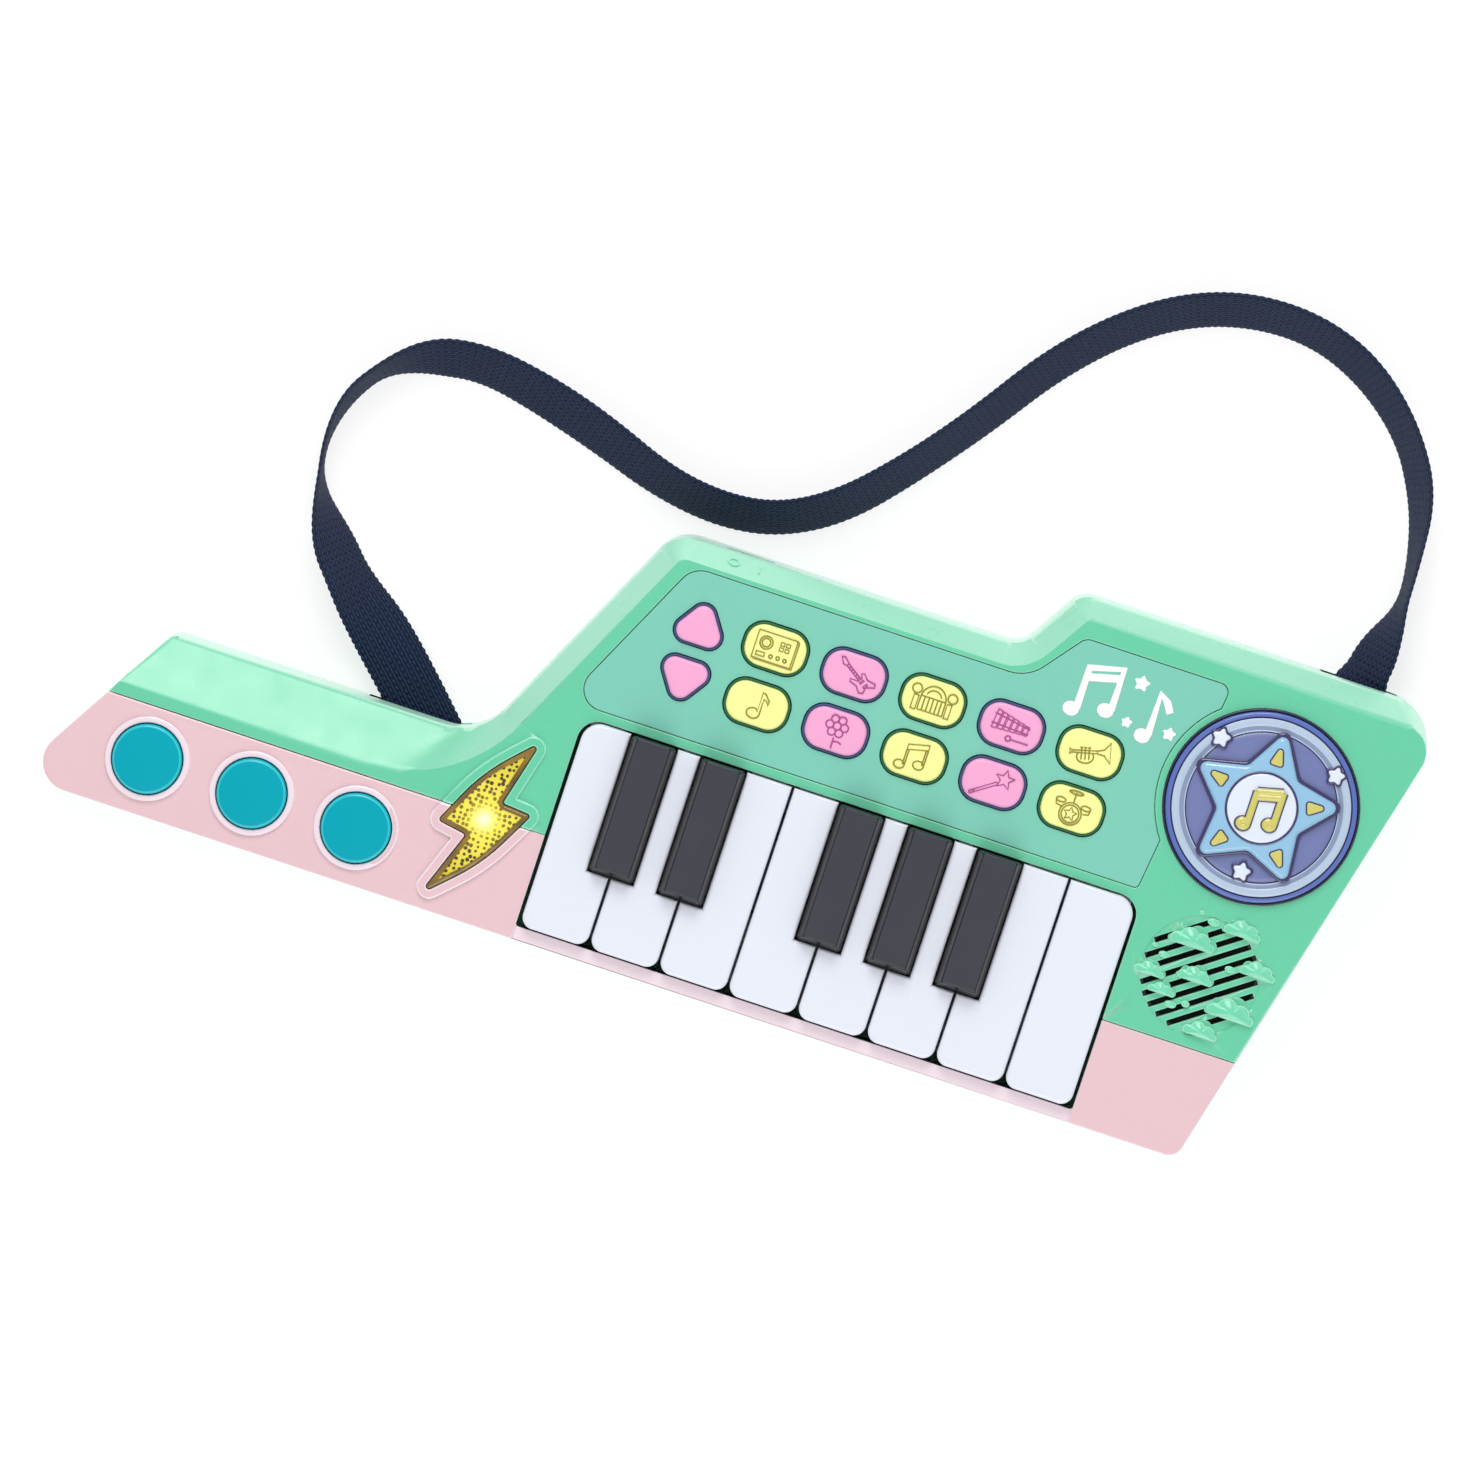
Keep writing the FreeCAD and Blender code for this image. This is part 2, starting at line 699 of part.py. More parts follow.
def lower_front_cover():
    """The pink cover: neck face, strip in front of the keys, and lower right corner."""
    body = upper_casing("lower_front_cover")
    add_posts(body, COVER_POSTS)
    add_bolt_seat(body)
    cut_down(body, "above_seam", "black_key_top", "black_key_top",
             lambda sketch: draw_strip(sketch, "seam_line - seam_gap", "overall_width"))
    cut_keybed(body)
    strip_left, strip_length = "keybed_left - keybed_margin", "key_pitch * 8 + 2 * keybed_margin"
    cut_down(body, "strip_step", "black_key_top", "black_key_top - face_height + strip_drop",
             lambda sketch: draw_box(sketch, strip_left, "-overall_width", strip_length,
                                     "overall_width / 2 + 10"))
    for number in range(3):
        x = f"neck_first_button + {number} * neck_button_pitch"
        raise_up(body, f"collar_{number + 1}", "face_height - face_wall / 2", "face_wall / 2 + collar_height",
                 lambda sketch, x=x: draw_circle(sketch, x, "neck_button_line", "collar_radius"))
        cut_down(body, f"neck_hole_{number + 1}", "black_key_top", "black_key_top - edge_height",
                 lambda sketch, x=x: draw_circle(sketch, x, "neck_button_line", "neck_hole_radius"))
    return body


def rear_shell():
    """The green tray that closes the back: bosses, battery box and strap slots."""
    body = new_body("rear_shell")
    case, wall = case_corners(), size("wall")
    chamfer = size("bottom_chamfer")
    loft_between(body, "back_edge", "AdditiveLoft", "0", grown(case, -chamfer), "bottom_chamfer", case)
    raise_up(body, "tray", "bottom_chamfer", "parting_height - bottom_chamfer",
             lambda sketch: draw_outline(sketch, case))
    cut_down(body, "tray_hollow", "parting_height", "parting_height - wall",
             lambda sketch: draw_outline(sketch, grown(case, -wall - 0.4)))
    for number, (x, y) in enumerate(FRONT_POSTS + COVER_POSTS, start=1):
        raise_up(body, f"boss_{number}", "wall", "parting_height - wall",
                 lambda sketch, x=x, y=y: draw_circle(sketch, x, y, "boss_radius"))
        cut_down(body, f"screw_way_{number}", "parting_height", "parting_height",
                 lambda sketch, x=x, y=y: draw_circle(sketch, x, y, "screw_clearance_bore"))
        cut_down(body, f"counterbore_{number}", "counterbore_depth", "counterbore_depth",
                 lambda sketch, x=x, y=y: draw_circle(sketch, x, y, "counterbore_radius"))
    box = ("battery_box_left", "battery_box_front", "battery_box_length", "battery_box_depth")
    rim = ("battery_box_left - wall", "battery_box_front - wall",
           "battery_box_length + 2 * wall", "battery_box_depth + 2 * wall")
    raise_up(body, "battery_box", "wall", "battery_box_top", lambda sketch: draw_box(sketch, *rim))
    cut_down(body, "battery_space", "battery_box_top", "battery_box_top",
             lambda sketch: draw_box(sketch, *box))
    raise_up(body, "door_screw_boss", "wall", "battery_box_top - wall",
             lambda sketch: draw_box(sketch, "battery_box_left + battery_box_length + wall / 2",
                                     "battery_box_front + 13", "11", "16"))
    cut_down(body, "door_tongue_seat", "wall", "wall",
             lambda sketch: draw_box(sketch, "battery_box_left + battery_box_length",
                                     "battery_box_front + 15", "10", "12"))
    cut_down(body, "door_screw_bore", "battery_box_top - 4", "battery_box_top - 4",
             lambda sketch: draw_circle(sketch, *DOOR_SCREW_PLACE, "screw_bore"))
    for number, (x, line, length, tall) in enumerate(STRAP_SLOTS, start=1):
        cut_down(body, f"strap_slot_{number}", f"strap_slot_bottom + {tall}", tall,
                 lambda sketch, x=x, line=line, length=length: draw_box(
                     sketch, f"{x} - {length} / 2", f"{line} - wall - 1.5", str(length), "wall + 3"))
    for number, (x, y) in enumerate(anchor_lug_places(), start=1):
        raise_up(body, f"anchor_lug_{number}", "wall", "parting_height - wall - 1",
                 lambda sketch, x=x, y=y: draw_circle(sketch, x, y, "boss_radius - 1"))
    return body


def control_panel():
    """The darker insert, cut away round the medallion and pierced for twelve buttons."""
    body = new_body("control_panel")
    raise_up(body, "plate", "face_height - panel_thickness", "panel_thickness",
             lambda sketch: draw_outline(sketch, panel_corners()))
    cut_down(body, "medallion_bay", "face_height", "panel_thickness",
             lambda sketch: draw_circle(sketch, *MEDALLION_PLACE, "medallion_seat_radius + panel_gap"))
    cut_button_holes(body, "face_height", "panel_thickness")
    return body


# ------------------------------------------------------------------------------------- keys

BLACK_AFTER = (1, 2, 4, 5, 6)
WHITE_COUNT = 8


def white_key(number):
    """A white key about its own middle line, notched beside its black neighbours."""
    centre = f"keybed_left + key_pitch * {number - 0.5}"
    body = new_body(f"white_key_{number}", centre)
    half_width = "(key_pitch - key_gap) / 2"
    raise_up(body, "slab", "key_bottom", "white_key_top - key_bottom",
             lambda sketch: draw_box(sketch, f"-{half_width}", "key_front", "key_pitch - key_gap",
                                     "key_rear - key_front"))
    front = size("key_front")
    round_upright_edges(body, "front_corners", "white_corner", lambda x, y: abs(y - front) < 1e-6)
    if number in (1, WHITE_COUNT):
        outside = -1 if number == 1 else 1
        round_upright_edges(body, "rear_corner", "keybed_corner - keybed_margin",
                            lambda x, y: y > -20 and x * outside > 0)
    left, right = -worth(half_width), worth(half_width)
    notch = "key_pitch / 2 - black_key_width / 2 - black_gap"
    length = "key_rear - black_key_front + black_gap + 5"
    if number - 1 in BLACK_AFTER:
        cut_down(body, "left_notch", "white_key_top", "white_key_top - key_bottom",
                 lambda sketch: draw_box(sketch, "-key_pitch", "black_key_front - black_gap",
                                         f"key_pitch - ({notch})", length))
        left = -worth(notch)
    if number in BLACK_AFTER:
        cut_down(body, "right_notch", "white_key_top", "white_key_top - key_bottom",
                 lambda sketch: draw_box(sketch, notch, "black_key_front - black_gap", "key_pitch", length))
        right = worth(notch)
    hollow_top = "white_key_top - white_skin"
    cut_down(body, "front_hollow", hollow_top, "white_key_top - white_skin - key_bottom",
             lambda sketch: draw_box(sketch, f"white_skin - {half_width}", "key_front + white_skin",
                                     "key_pitch - key_gap - 2 * white_skin",
                                     "black_key_front - black_gap - key_front - 2 * white_skin"))
    add_hinge(body, left, right, "key_rear", "white_post_line", "white_key_top - white_skin")
    return body


def add_hinge(body, left, right, rear, post_line, post_top):
    """The tail and barrel behind a key, bored for the rod, and the post that presses its dome."""
    inset = size("barrel_inset")
    start, length = left + inset, right - left - 2 * inset
    raise_up(body, "tail", "hinge_height - 2", "4",
             lambda sketch: draw_box(sketch, str(start), f"{rear} - 3", str(length),
                                     f"hinge_line + 3 - {rear}"))
    bore_along_x(body, "barrel", "hinge_line", "hinge_height", "barrel_radius", str(start), str(length),
                 "Pad")
    bore_along_x(body, "rod_bore", "hinge_line", "hinge_height", "rod_radius + rod_clearance",
                 str(start - 1), str(length + 2))
    middle = (left + right) / 2
    raise_up(body, "contact_post", "post_bottom", f"{post_top} - post_bottom",
             lambda sketch: draw_box(sketch, f"{middle} - post_size / 2", f"{post_line} - post_size / 2",
                                     "post_size", "post_size"))


def black_key(number):
    """A black key about its own middle line: an upright base with a narrower, sloping top."""
    body = new_body(f"black_key_{number}", f"keybed_left + key_pitch * {BLACK_AFTER[number - 1]}")
    base_width, top_width = size("black_key_width"), size("black_top_width")
    rear, front = size("key_rear"), size("black_key_front")
    slope = (base_width - top_width) / 2
    foot = box_corners(-base_width / 2, front, base_width, rear - front, 1.2)
    crest = box_corners(-top_width / 2, front + slope, top_width, rear - front - slope, 0.8)
    raise_up(body, "base", "black_key_bottom", "black_shoulder - black_key_bottom",
             lambda sketch: draw_outline(sketch, foot))
    loft_between(body, "sloping_top", "AdditiveLoft", "black_shoulder", foot, "black_key_top", crest)
    add_hinge(body, -base_width / 2, base_width / 2, "key_rear", "black_post_line", "black_shoulder")
    return body


def ear_places():
    """Where the chassis ears stand: both ends and the two gaps with no black key."""
    places = ["keybed_left - 0.2"]
    places += [f"keybed_left + key_pitch * {gap} - ear_thickness / 2" for gap in (3, 7)]
    places.append("keybed_left + key_pitch * 8 - ear_thickness + 0.2")
    return places


def key_chassis():
    """The tray under the keys, with legs to the rear shell and ears for the hinge rod."""
    body = new_body("key_chassis")
    raise_up(body, "plate", "chassis_bottom", "chassis_plate",
             lambda sketch: draw_box(sketch, "keybed_left + 0.5", "key_front + 2", "key_pitch * 8 - 1",
                                     "hinge_line + ear_rear - key_front - 2"))
    for number, place in enumerate(ear_places(), start=1):
        raise_up(body, f"ear_{number}", "chassis_bottom", "hinge_height + 3.4 - chassis_bottom",
                 lambda sketch, place=place: draw_box(sketch, place, "hinge_line - ear_front",
                                                      "ear_thickness", "ear_front + ear_rear"))
    bore_along_x(body, "rod_seats", "hinge_line", "hinge_height", "rod_radius + 0.02",
                 "keybed_left - 5", "key_pitch * 8 + 10")
    for number, (x, y) in enumerate(((-40.0, -70.0), (130.0, -70.0), (-40.0, -8.0), (130.0, -8.0)), start=1):
        raise_up(body, f"leg_{number}", "wall", "chassis_bottom + chassis_plate - wall",
                 lambda sketch, x=x, y=y: draw_circle(sketch, x, y, "boss_radius"))
    return body


def key_hinge_rod():
    """The steel rod that all thirteen keys turn on."""
    body = new_body("key_hinge_rod")
    bore_along_x(body, "rod", "hinge_line", "hinge_height", "rod_radius", "keybed_left - 0.2",
                 "key_pitch * 8 + 0.4", "Pad")
    return body


def key_circuit_board():
    """The board on the chassis that the key contacts close on."""
    body = new_body("key_circuit_board")
    raise_up(body, "board", "chassis_bottom + chassis_plate", "key_board_thickness",
             lambda sketch: draw_box(sketch, "keybed_left + 3", "white_post_line - 12",
                                     "key_pitch * 8 - 6", "34"))
    return body


def dome_places():
    """The place of the contact post of every key."""
    places = []
    for number in range(1, WHITE_COUNT + 1):
        shift = 0.0
        notch_depth = size("black_key_width") / 2 + size("black_gap") - size("key_gap") / 2
        shift += notch_depth / 2 if number - 1 in BLACK_AFTER else 0.0
        shift -= notch_depth / 2 if number in BLACK_AFTER else 0.0
        places.append((f"keybed_left + key_pitch * {number - 0.5} + {shift}", "white_post_line"))
    for gap in BLACK_AFTER:
        places.append((f"keybed_left + key_pitch * {gap}", "black_post_line"))
    return places


def rubber_mat(name, bottom, draw_sheet, places, dome_height="dome_height", dome_radius="dome_radius"):
    """A rubber sheet with a dome under each key or button."""
    body = new_body(name)
    raise_up(body, "sheet", bottom, "mat_thickness", draw_sheet)

    def draw_domes(sketch):
        for x, y in places:
            draw_circle(sketch, x, y, dome_radius)

    raise_up(body, "domes", bottom, f"mat_thickness + {dome_height}", draw_domes)
    return body


def key_contact_mat():
    """The rubber mat under the keys."""
    return rubber_mat("key_contact_mat", "chassis_bottom + chassis_plate + key_board_thickness",
                      lambda sketch: draw_box(sketch, "keybed_left + 4", "white_post_line - 11",
                                              "key_pitch * 8 - 8", "32"),
                      dome_places())


# ---------------------------------------------------------------------------------- buttons


def push_button(name, x, y, ring, cap, flange):
    """A button: a hidden flange under the casing, a ring at the face and a raised cap."""
    body = new_body(name, x, y)
    raise_up(body, "flange", "button_flange_bottom", "button_flange_top - button_flange_bottom",
             lambda sketch: draw_outline(sketch, flange))
    raise_up(body, "ring", "button_flange_top", "button_ring_top - button_flange_top",
             lambda sketch: draw_outline(sketch, ring))
    raise_up(body, "cap", "button_ring_top", "button_cap_top - button_ring_top",
             lambda sketch: draw_outline(sketch, cap))
    return body


def mode_button(number):
    """One of the ten rounded rectangular buttons."""
    x, y = mode_places()[number - 1]
    cap = grown(mode_ring_corners(), -size("mode_cap_inset"))
    return push_button(f"mode_button_{number}", x, y, mode_ring_corners(), cap,
                       mode_ring_corners(size("button_flange")))


def volume_button(points_up):
    """One of the two rounded triangular buttons."""
    way = "up" if points_up else "down"
    ring = volume_corners(points_up)
    return push_button(f"volume_{way}_button", "volume_column", f"volume_{way}_centre", ring,
                       grown(ring, -size("mode_cap_inset")), grown(ring, size("volume_flange")))


def neck_button(number):
    """One of the three round buttons in the neck."""
    body = new_body(f"neck_button_{number}", f"neck_first_button + {number - 1} * neck_button_pitch",
                    "neck_button_line")
    top, flange_top = size("neck_button_top"), size("button_flange_top")
    radius = size("neck_button_radius")
    revolve(body, "profile", [
        (0, size("button_flange_bottom")),
        (radius + 2, size("button_flange_bottom")),
        (radius + 2, flange_top),
        (radius, flange_top),
        (radius, top - 1.2),
        (radius - 0.4, top - 0.4),
        (radius - 1.2, top),
        (0, top),
    ])
    return body


def medallion_button():
    """The large round medallion: a stepped rim and a shallow dome inside it."""
    body = new_body("medallion_button", *MEDALLION_PLACE)
    radius, disc = size("medallion_radius"), size("medallion_disc_radius")
    rim, dome = size("medallion_rim_top"), size("medallion_dome_top")
    revolve(body, "profile", [
        (0, size("button_flange_bottom")),
        (radius + size("medallion_flange"), size("button_flange_bottom")),
        (radius + size("medallion_flange"), size("button_flange_top")),
        (radius, size("button_flange_top")),
        (radius, rim - 1.0),
        (radius - 1.0, rim),
        (disc + 0.6, rim),
        (disc, rim - 0.8),
        (disc * 0.6, dome - 1.2),
        (0, dome - 0.8),
    ])
    raise_up(body, "raised_star", "medallion_rim_top - 1", "medallion_dome_top - medallion_rim_top + 1",
             lambda sketch: draw_outline(sketch, star_corners(18.0, 9.0)))
    return body


def star_corners(outer, inner):
    """A five-pointed star with softened points."""
    corners = []
    for index in range(10):
        reach, soften = (outer, 1.6) if index % 2 == 0 else (inner, 0.8)
        angle = math.radians(90 + 36 * index)
        corners.append((reach * math.cos(angle), reach * math.sin(angle), soften))
    return corners


def medallion_ring():
    """The dark ring that the medallion sits in."""
    body = new_body("medallion_ring", *MEDALLION_PLACE)
    inner, outer = size("medallion_radius") + 0.25, size("medallion_ring_radius") - 0.05
    low, high = size("face_height") - size("face_wall"), size("ring_top")
    revolve(body, "profile", [(inner, low), (outer, low), (outer, high), (inner, high)])
    return body


def button_contact_mat():
    """The rubber mat behind the control panel."""
    places = mode_places()
    places += [("volume_column", "volume_up_centre"), ("volume_column", "volume_down_centre")]
    return rubber_mat("button_contact_mat", MAIN_BOARD_TOP,
                      lambda sketch: draw_box(sketch, "volume_column - 10", "mode_lower_row - 9",
                                              "mode_column_pitch * 4 + 45", "40"),
                      places)


MAIN_BOARD_TOP = "button_flange_bottom - button_travel - 0.3 - dome_height - mat_thickness"


def main_circuit_board():
    """The main board, above the battery box and behind the panel."""
    body = new_body("main_circuit_board")
    raise_up(body, "board", f"{MAIN_BOARD_TOP} - key_board_thickness", "key_board_thickness",
             lambda sketch: draw_box(sketch, "volume_column - 12", "mode_lower_row - 9",
                                     "mode_column_pitch * 4 + 49", "44"))
    return body


def neck_contact_mat():
    """The rubber mat under the neck buttons."""
    places = [(f"neck_first_button + {n} * neck_button_pitch", "neck_button_line") for n in range(3)]
    return rubber_mat("neck_contact_mat", MAIN_BOARD_TOP,
                      lambda sketch: draw_box(sketch, "neck_first_button - 8", "neck_button_line - 5",
                                              "neck_button_pitch * 2 + 16", "10"),
                      places)


def neck_circuit_board():
    """The narrow board under the neck buttons."""
    body = new_body("neck_circuit_board")
    raise_up(body, "board", f"{MAIN_BOARD_TOP} - key_board_thickness", "key_board_thickness",
             lambda sketch: draw_box(sketch, "neck_first_button - 9", "neck_button_line - 6",
                                     "neck_button_pitch * 2 + 18", "12"))
    return body


def medallion_contact_pad():
    """The rubber spring pad under the medallion."""
    body = new_body("medallion_contact_pad", *MEDALLION_PLACE)
    top = worth("button_flange_bottom - button_travel - 0.3")
    revolve(body, "profile", [(0, top - 6), (12, top - 6), (12, top - 4.5), (5, top - 1), (5, top), (0, top)])
    return body


# ------------------------------------------------------------------------ light, speaker, power


def bolt_lens():
    """The translucent lightning bolt."""
    body = new_body("bolt_lens")
    raise_up(body, "lens", "face_height - face_wall", "lens_top - face_height + face_wall",
             lambda sketch: draw_outline(sketch, bolt_corners()))
    return body


def bolt_light_board():
    """The little board behind the bolt, with its lamp."""
    body = new_body("bolt_light_board", "-70", "-48.5")
    raise_up(body, "board", "edge_height - 1", "1.4", lambda sketch: draw_box(sketch, "-6", "-9", "12", "18"))
    raise_up(body, "lamp", "edge_height", "4.5", lambda sketch: draw_circle(sketch, "0", "0", "2.5"))
    return body


def speaker_frame():
    """The pressed basket of the loudspeaker, under the grille."""
    body = new_body("speaker_frame", "speaker_centre", "speaker_line")
    top = worth("face_height - face_wall")
    revolve(body, "profile", [
        (18.2, top), (20.8, top), (20.8, top - 1.2), (19.2, top - 1.2),
        (13.0, top - 7.0), (5.0, top - 7.0), (5.0, top - 6.0), (12.6, top - 6.0),
        (18.2, top - 0.9),
    ])
    return body


def speaker_cone():
    """The thin cone with its dust cap."""
    body = new_body("speaker_cone", "speaker_centre", "speaker_line")
    top = worth("face_height - face_wall")
    revolve(body, "profile", [
        (0, top - 3.6), (3.5, top - 3.9), (5.0, top - 5.0), (14.5, top - 1.6), (17.5, top - 1.2),
        (17.1, top - 1.8), (14.7, top - 2.1), (5.0, top - 5.6), (0, top - 5.6),
    ])
    return body


def speaker_magnet():
    """The magnet on the back of the basket."""
    body = new_body("speaker_magnet", "speaker_centre", "speaker_line")
    raise_up(body, "magnet", "face_height - face_wall - 14", "7",
             lambda sketch: draw_circle(sketch, "0", "0", "11"))
    return body


def power_switch_body():
    """The slide switch behind the wall at the top of the body."""
    body = new_body("power_switch_body", "switch_off_place + switch_travel / 2", "body_top_line - wall - 0.2",
                    "switch_height")
    raise_up(body, "housing", "-3.6", "7.2",
             lambda sketch: draw_box(sketch, "-switch_travel / 2 - 2.6", "-9", "switch_travel + 5.2", "6.5"))
    cut_down(body, "stem_way", "1.6", "3.2",
             lambda sketch: draw_box(sketch, "-switch_travel / 2 - 2", "-6", "switch_travel + 4", "6"))
    return body


def power_switch_knob():
    """The sliding knob, set just inside the face of the wall."""
    body = new_body("power_switch_knob", "switch_off_place", "body_top_line", "switch_height")
    raise_up(body, "grip", "-switch_knob_tall / 2", "switch_knob_tall",
             lambda sketch: draw_box(sketch, "-switch_knob_width / 2", "-wall - 1.6", "switch_knob_width",
                                     "wall + 1.3"))
    raise_up(body, "stem", "-1.2", "2.4", lambda sketch: draw_box(sketch, "-1.5", "-7", "3", "6"))
    return body


def batteries():
    """Three AA cells side by side, lying along X."""
    body = new_body("batteries", "battery_box_left + 5", "battery_box_front")
    for number in range(3):
        y = f"battery_box_depth / 2 + {number - 1} * 15.6"
        bore_along_x(body, f"cell_{number + 1}", y, "wall + 8", "battery_radius", "0",
                     "battery_length - 1", "Pad")
        bore_along_x(body, f"cap_{number + 1}", y, "wall + 8", "2.7", "0", "battery_length", "Pad")
    return body


def battery_contacts():
    """The sprung plates at both ends of the cells."""
    body = new_body("battery_contacts", "battery_box_left", "battery_box_front")
    for end, x in (("near", "0.4"), ("far", "battery_box_length - 1.2")):
        for number in range(3):
            y = f"battery_box_depth / 2 + {number - 1} * 15.6 - 5"
            raise_up(body, f"{end}_plate_{number + 1}", "wall + 2", "12",
                     lambda sketch, x=x, y=y: draw_box(sketch, x, y, "0.8", "10"))
    return body


def battery_door():
    """The door over the batteries, flush with the back, with a screw tongue."""
    body = new_body("battery_door")
    raise_up(body, "plate", "0", "wall",
             lambda sketch: draw_box(sketch, "battery_box_left + door_gap", "battery_box_front + door_gap",
                                     "battery_box_length - 2 * door_gap", "battery_box_depth - 2 * door_gap"))
    raise_up(body, "tongue", "0", "wall",
             lambda sketch: draw_box(sketch, "battery_box_left + battery_box_length - 2",
                                     "battery_box_front + 15.3", "11.4", "11.4"))
    cut_down(body, "screw_hole", "wall", "wall",
             lambda sketch: draw_circle(sketch, *DOOR_SCREW_PLACE, "screw_clearance_bore"))
    cut_down(body, "screw_seat", "1.2", "1.2",
             lambda sketch: draw_circle(sketch, *DOOR_SCREW_PLACE, "screw_head_radius + 0.2"))
    return body


def battery_door_screw():
    """The captive screw of the battery door."""
    body = new_body("battery_door_screw", *DOOR_SCREW_PLACE)
    raise_up(body, "head", "0.1", "1.1", lambda sketch: draw_circle(sketch, "0", "0", "screw_head_radius"))
    raise_up(body, "shank", "0.1", "10", lambda sketch: draw_circle(sketch, "0", "0", "screw_radius"))
    return body


def case_screws():
    """The eight identical screws that hold the case together."""
    body = new_body("case_screws")

    def draw_all(radius):
        def draw(sketch):
            for x, y in FRONT_POSTS + COVER_POSTS:
                draw_circle(sketch, x, y, radius)
        return draw

    raise_up(body, "heads", "counterbore_depth - 2", "2", draw_all("screw_head_radius"))
    raise_up(body, "shanks", "counterbore_depth - 2", "screw_end - counterbore_depth + 2",
             draw_all("screw_radius"))
    return body


# ------------------------------------------------------------------------------------- strap

# Slots in the upper side wall that the strap leaves by: centre along X, wall line, length, height.
STRAP_SLOTS = [
    (-100.5, "neck_top_line", 36.0, "neck_slot_height"),
    (185.5, "overall_width / 2", 26.0, "body_slot_height"),
]

# The strap's route seen from above, from the anchor in the neck to the anchor in the body. Each
# point has the lean of the webbing there: 0 lies flat, 90 stands on its edge.
STRAP_ROUTE = [
    (-85.0, -39.5, 0.0),
    (-112.0, -11.0, 8.0),
    (-143.0, 15.0, 48.0),
    (-160.0, 44.0, 84.0),
    (-154.0, 76.0, 70.0),
    (-126.0, 93.0, 50.0),
    (-86.0, 86.0, 46.0),
    (-38.0, 65.5, 53.0),
    (0.0, 72.0, 54.0),
    (34.0, 112.0, 58.0),
    (66.0, 160.0, 56.0),
    (104.0, 186.0, 55.0),
    (148.0, 186.0, 58.0),
    (184.0, 156.0, 66.0),
    (192.0, 114.0, 84.0),
    (187.0, 88.0, 48.0),
    (185.0, 72.0, 0.0),
]


def strap_height(lean):
    """The height of the webbing's middle line: its lower edge rests on the ground, or it lies in the slot."""
    lean = math.radians(lean)
    return size("strap_width") / 2 * math.sin(lean) + size("strap_thickness") / 2 * math.cos(lean) + 0.05


def strap_stations(step=5.0):
    """Places along straight runs joined by tangent arcs, each with its direction."""
    points = [Vector(x, y, 0) for x, y, lean in STRAP_ROUTE]
    stations = [(points[0], (points[1] - points[0]).normalize())]
    for index in range(1, len(points) - 1):
        here = points[index]
        into, out = here - points[index - 1], points[index + 1] - here
        turn = into.getAngle(out)
        reach = 0.45 * min(into.Length, out.Length)
        radius = reach / math.tan(turn / 2)
        print(f"strap bend {index}: radius {radius:.0f} mm, turn {math.degrees(turn):.0f} degrees")
        into.normalize()
        out.normalize()
        side = 1 if into.cross(out).z > 0 else -1
        centre = here - into * reach + Vector(-into.y, into.x, 0) * (side * radius)
        count = max(2, int(math.ceil(radius * turn / step)))
        for part in range(count + 1):
            swing = FreeCAD.Rotation(Vector(0, 0, 1), math.degrees(side * turn * part / count))
            arm = swing.multVec(here - into * reach - centre)
            stations.append((centre + arm, swing.multVec(into)))
    stations.append((points[-1], (points[-1] - points[-2]).normalize()))
    return stations


def eased_leans(stations):
    """The lean at each station, changing evenly along the strap between the route's points."""
    travelled = [0.0]
    for before, after in zip(stations, stations[1:]):
        travelled.append(travelled[-1] + (after[0] - before[0]).Length)
    marks = []
    for x, y, lean in STRAP_ROUTE:
        nearest = min(range(len(stations)), key=lambda i: (stations[i][0] - Vector(x, y, 0)).Length)
        marks.append((travelled[nearest], lean))
    leans = []
    for distance in travelled:
        after = next((i for i, mark in enumerate(marks) if mark[0] >= distance - 1e-6), len(marks) - 1)
        before = max(after - 1, 0)
        span = marks[after][0] - marks[before][0]
        share = 0.0 if span < 1e-6 else (distance - marks[before][0]) / span
        leans.append(marks[before][1] + (marks[after][1] - marks[before][1]) * min(max(share, 0.0), 1.0))
    return leans, travelled[-1]


def anchor_frames():
    """The middle of each anchor bar, and the direction in which the strap leaves it."""
    frames = []
    heights = [worth(f"strap_slot_bottom + {slot[3]} / 2") for slot in STRAP_SLOTS]
    for end, following, height in ((0, 1, heights[0]), (-1, -2, heights[1])):
        place = Vector(*STRAP_ROUTE[end][:2], height)
        away = Vector(*STRAP_ROUTE[following][:2], height) - place
        frames.append((place, away.normalize()))
    return frames


def anchor_setback():
    """How far behind the end of the flat webbing the middle of an anchor bar lies."""
    return worth("anchor_radius + anchor_play + strap_thickness") + 0.05


def anchor_lug_places():
    """The lugs that hold the two ends of each anchor bar."""
    places = []
    for middle, away in anchor_frames():
        sideways = Vector(-away.y, away.x, 0) * (size("anchor_length") / 2 + 1)
        bar = middle - away * anchor_setback()
        for lug in (bar + sideways, bar - sideways):
            places.append((f"{lug.x}", f"{lug.y}"))
    return places


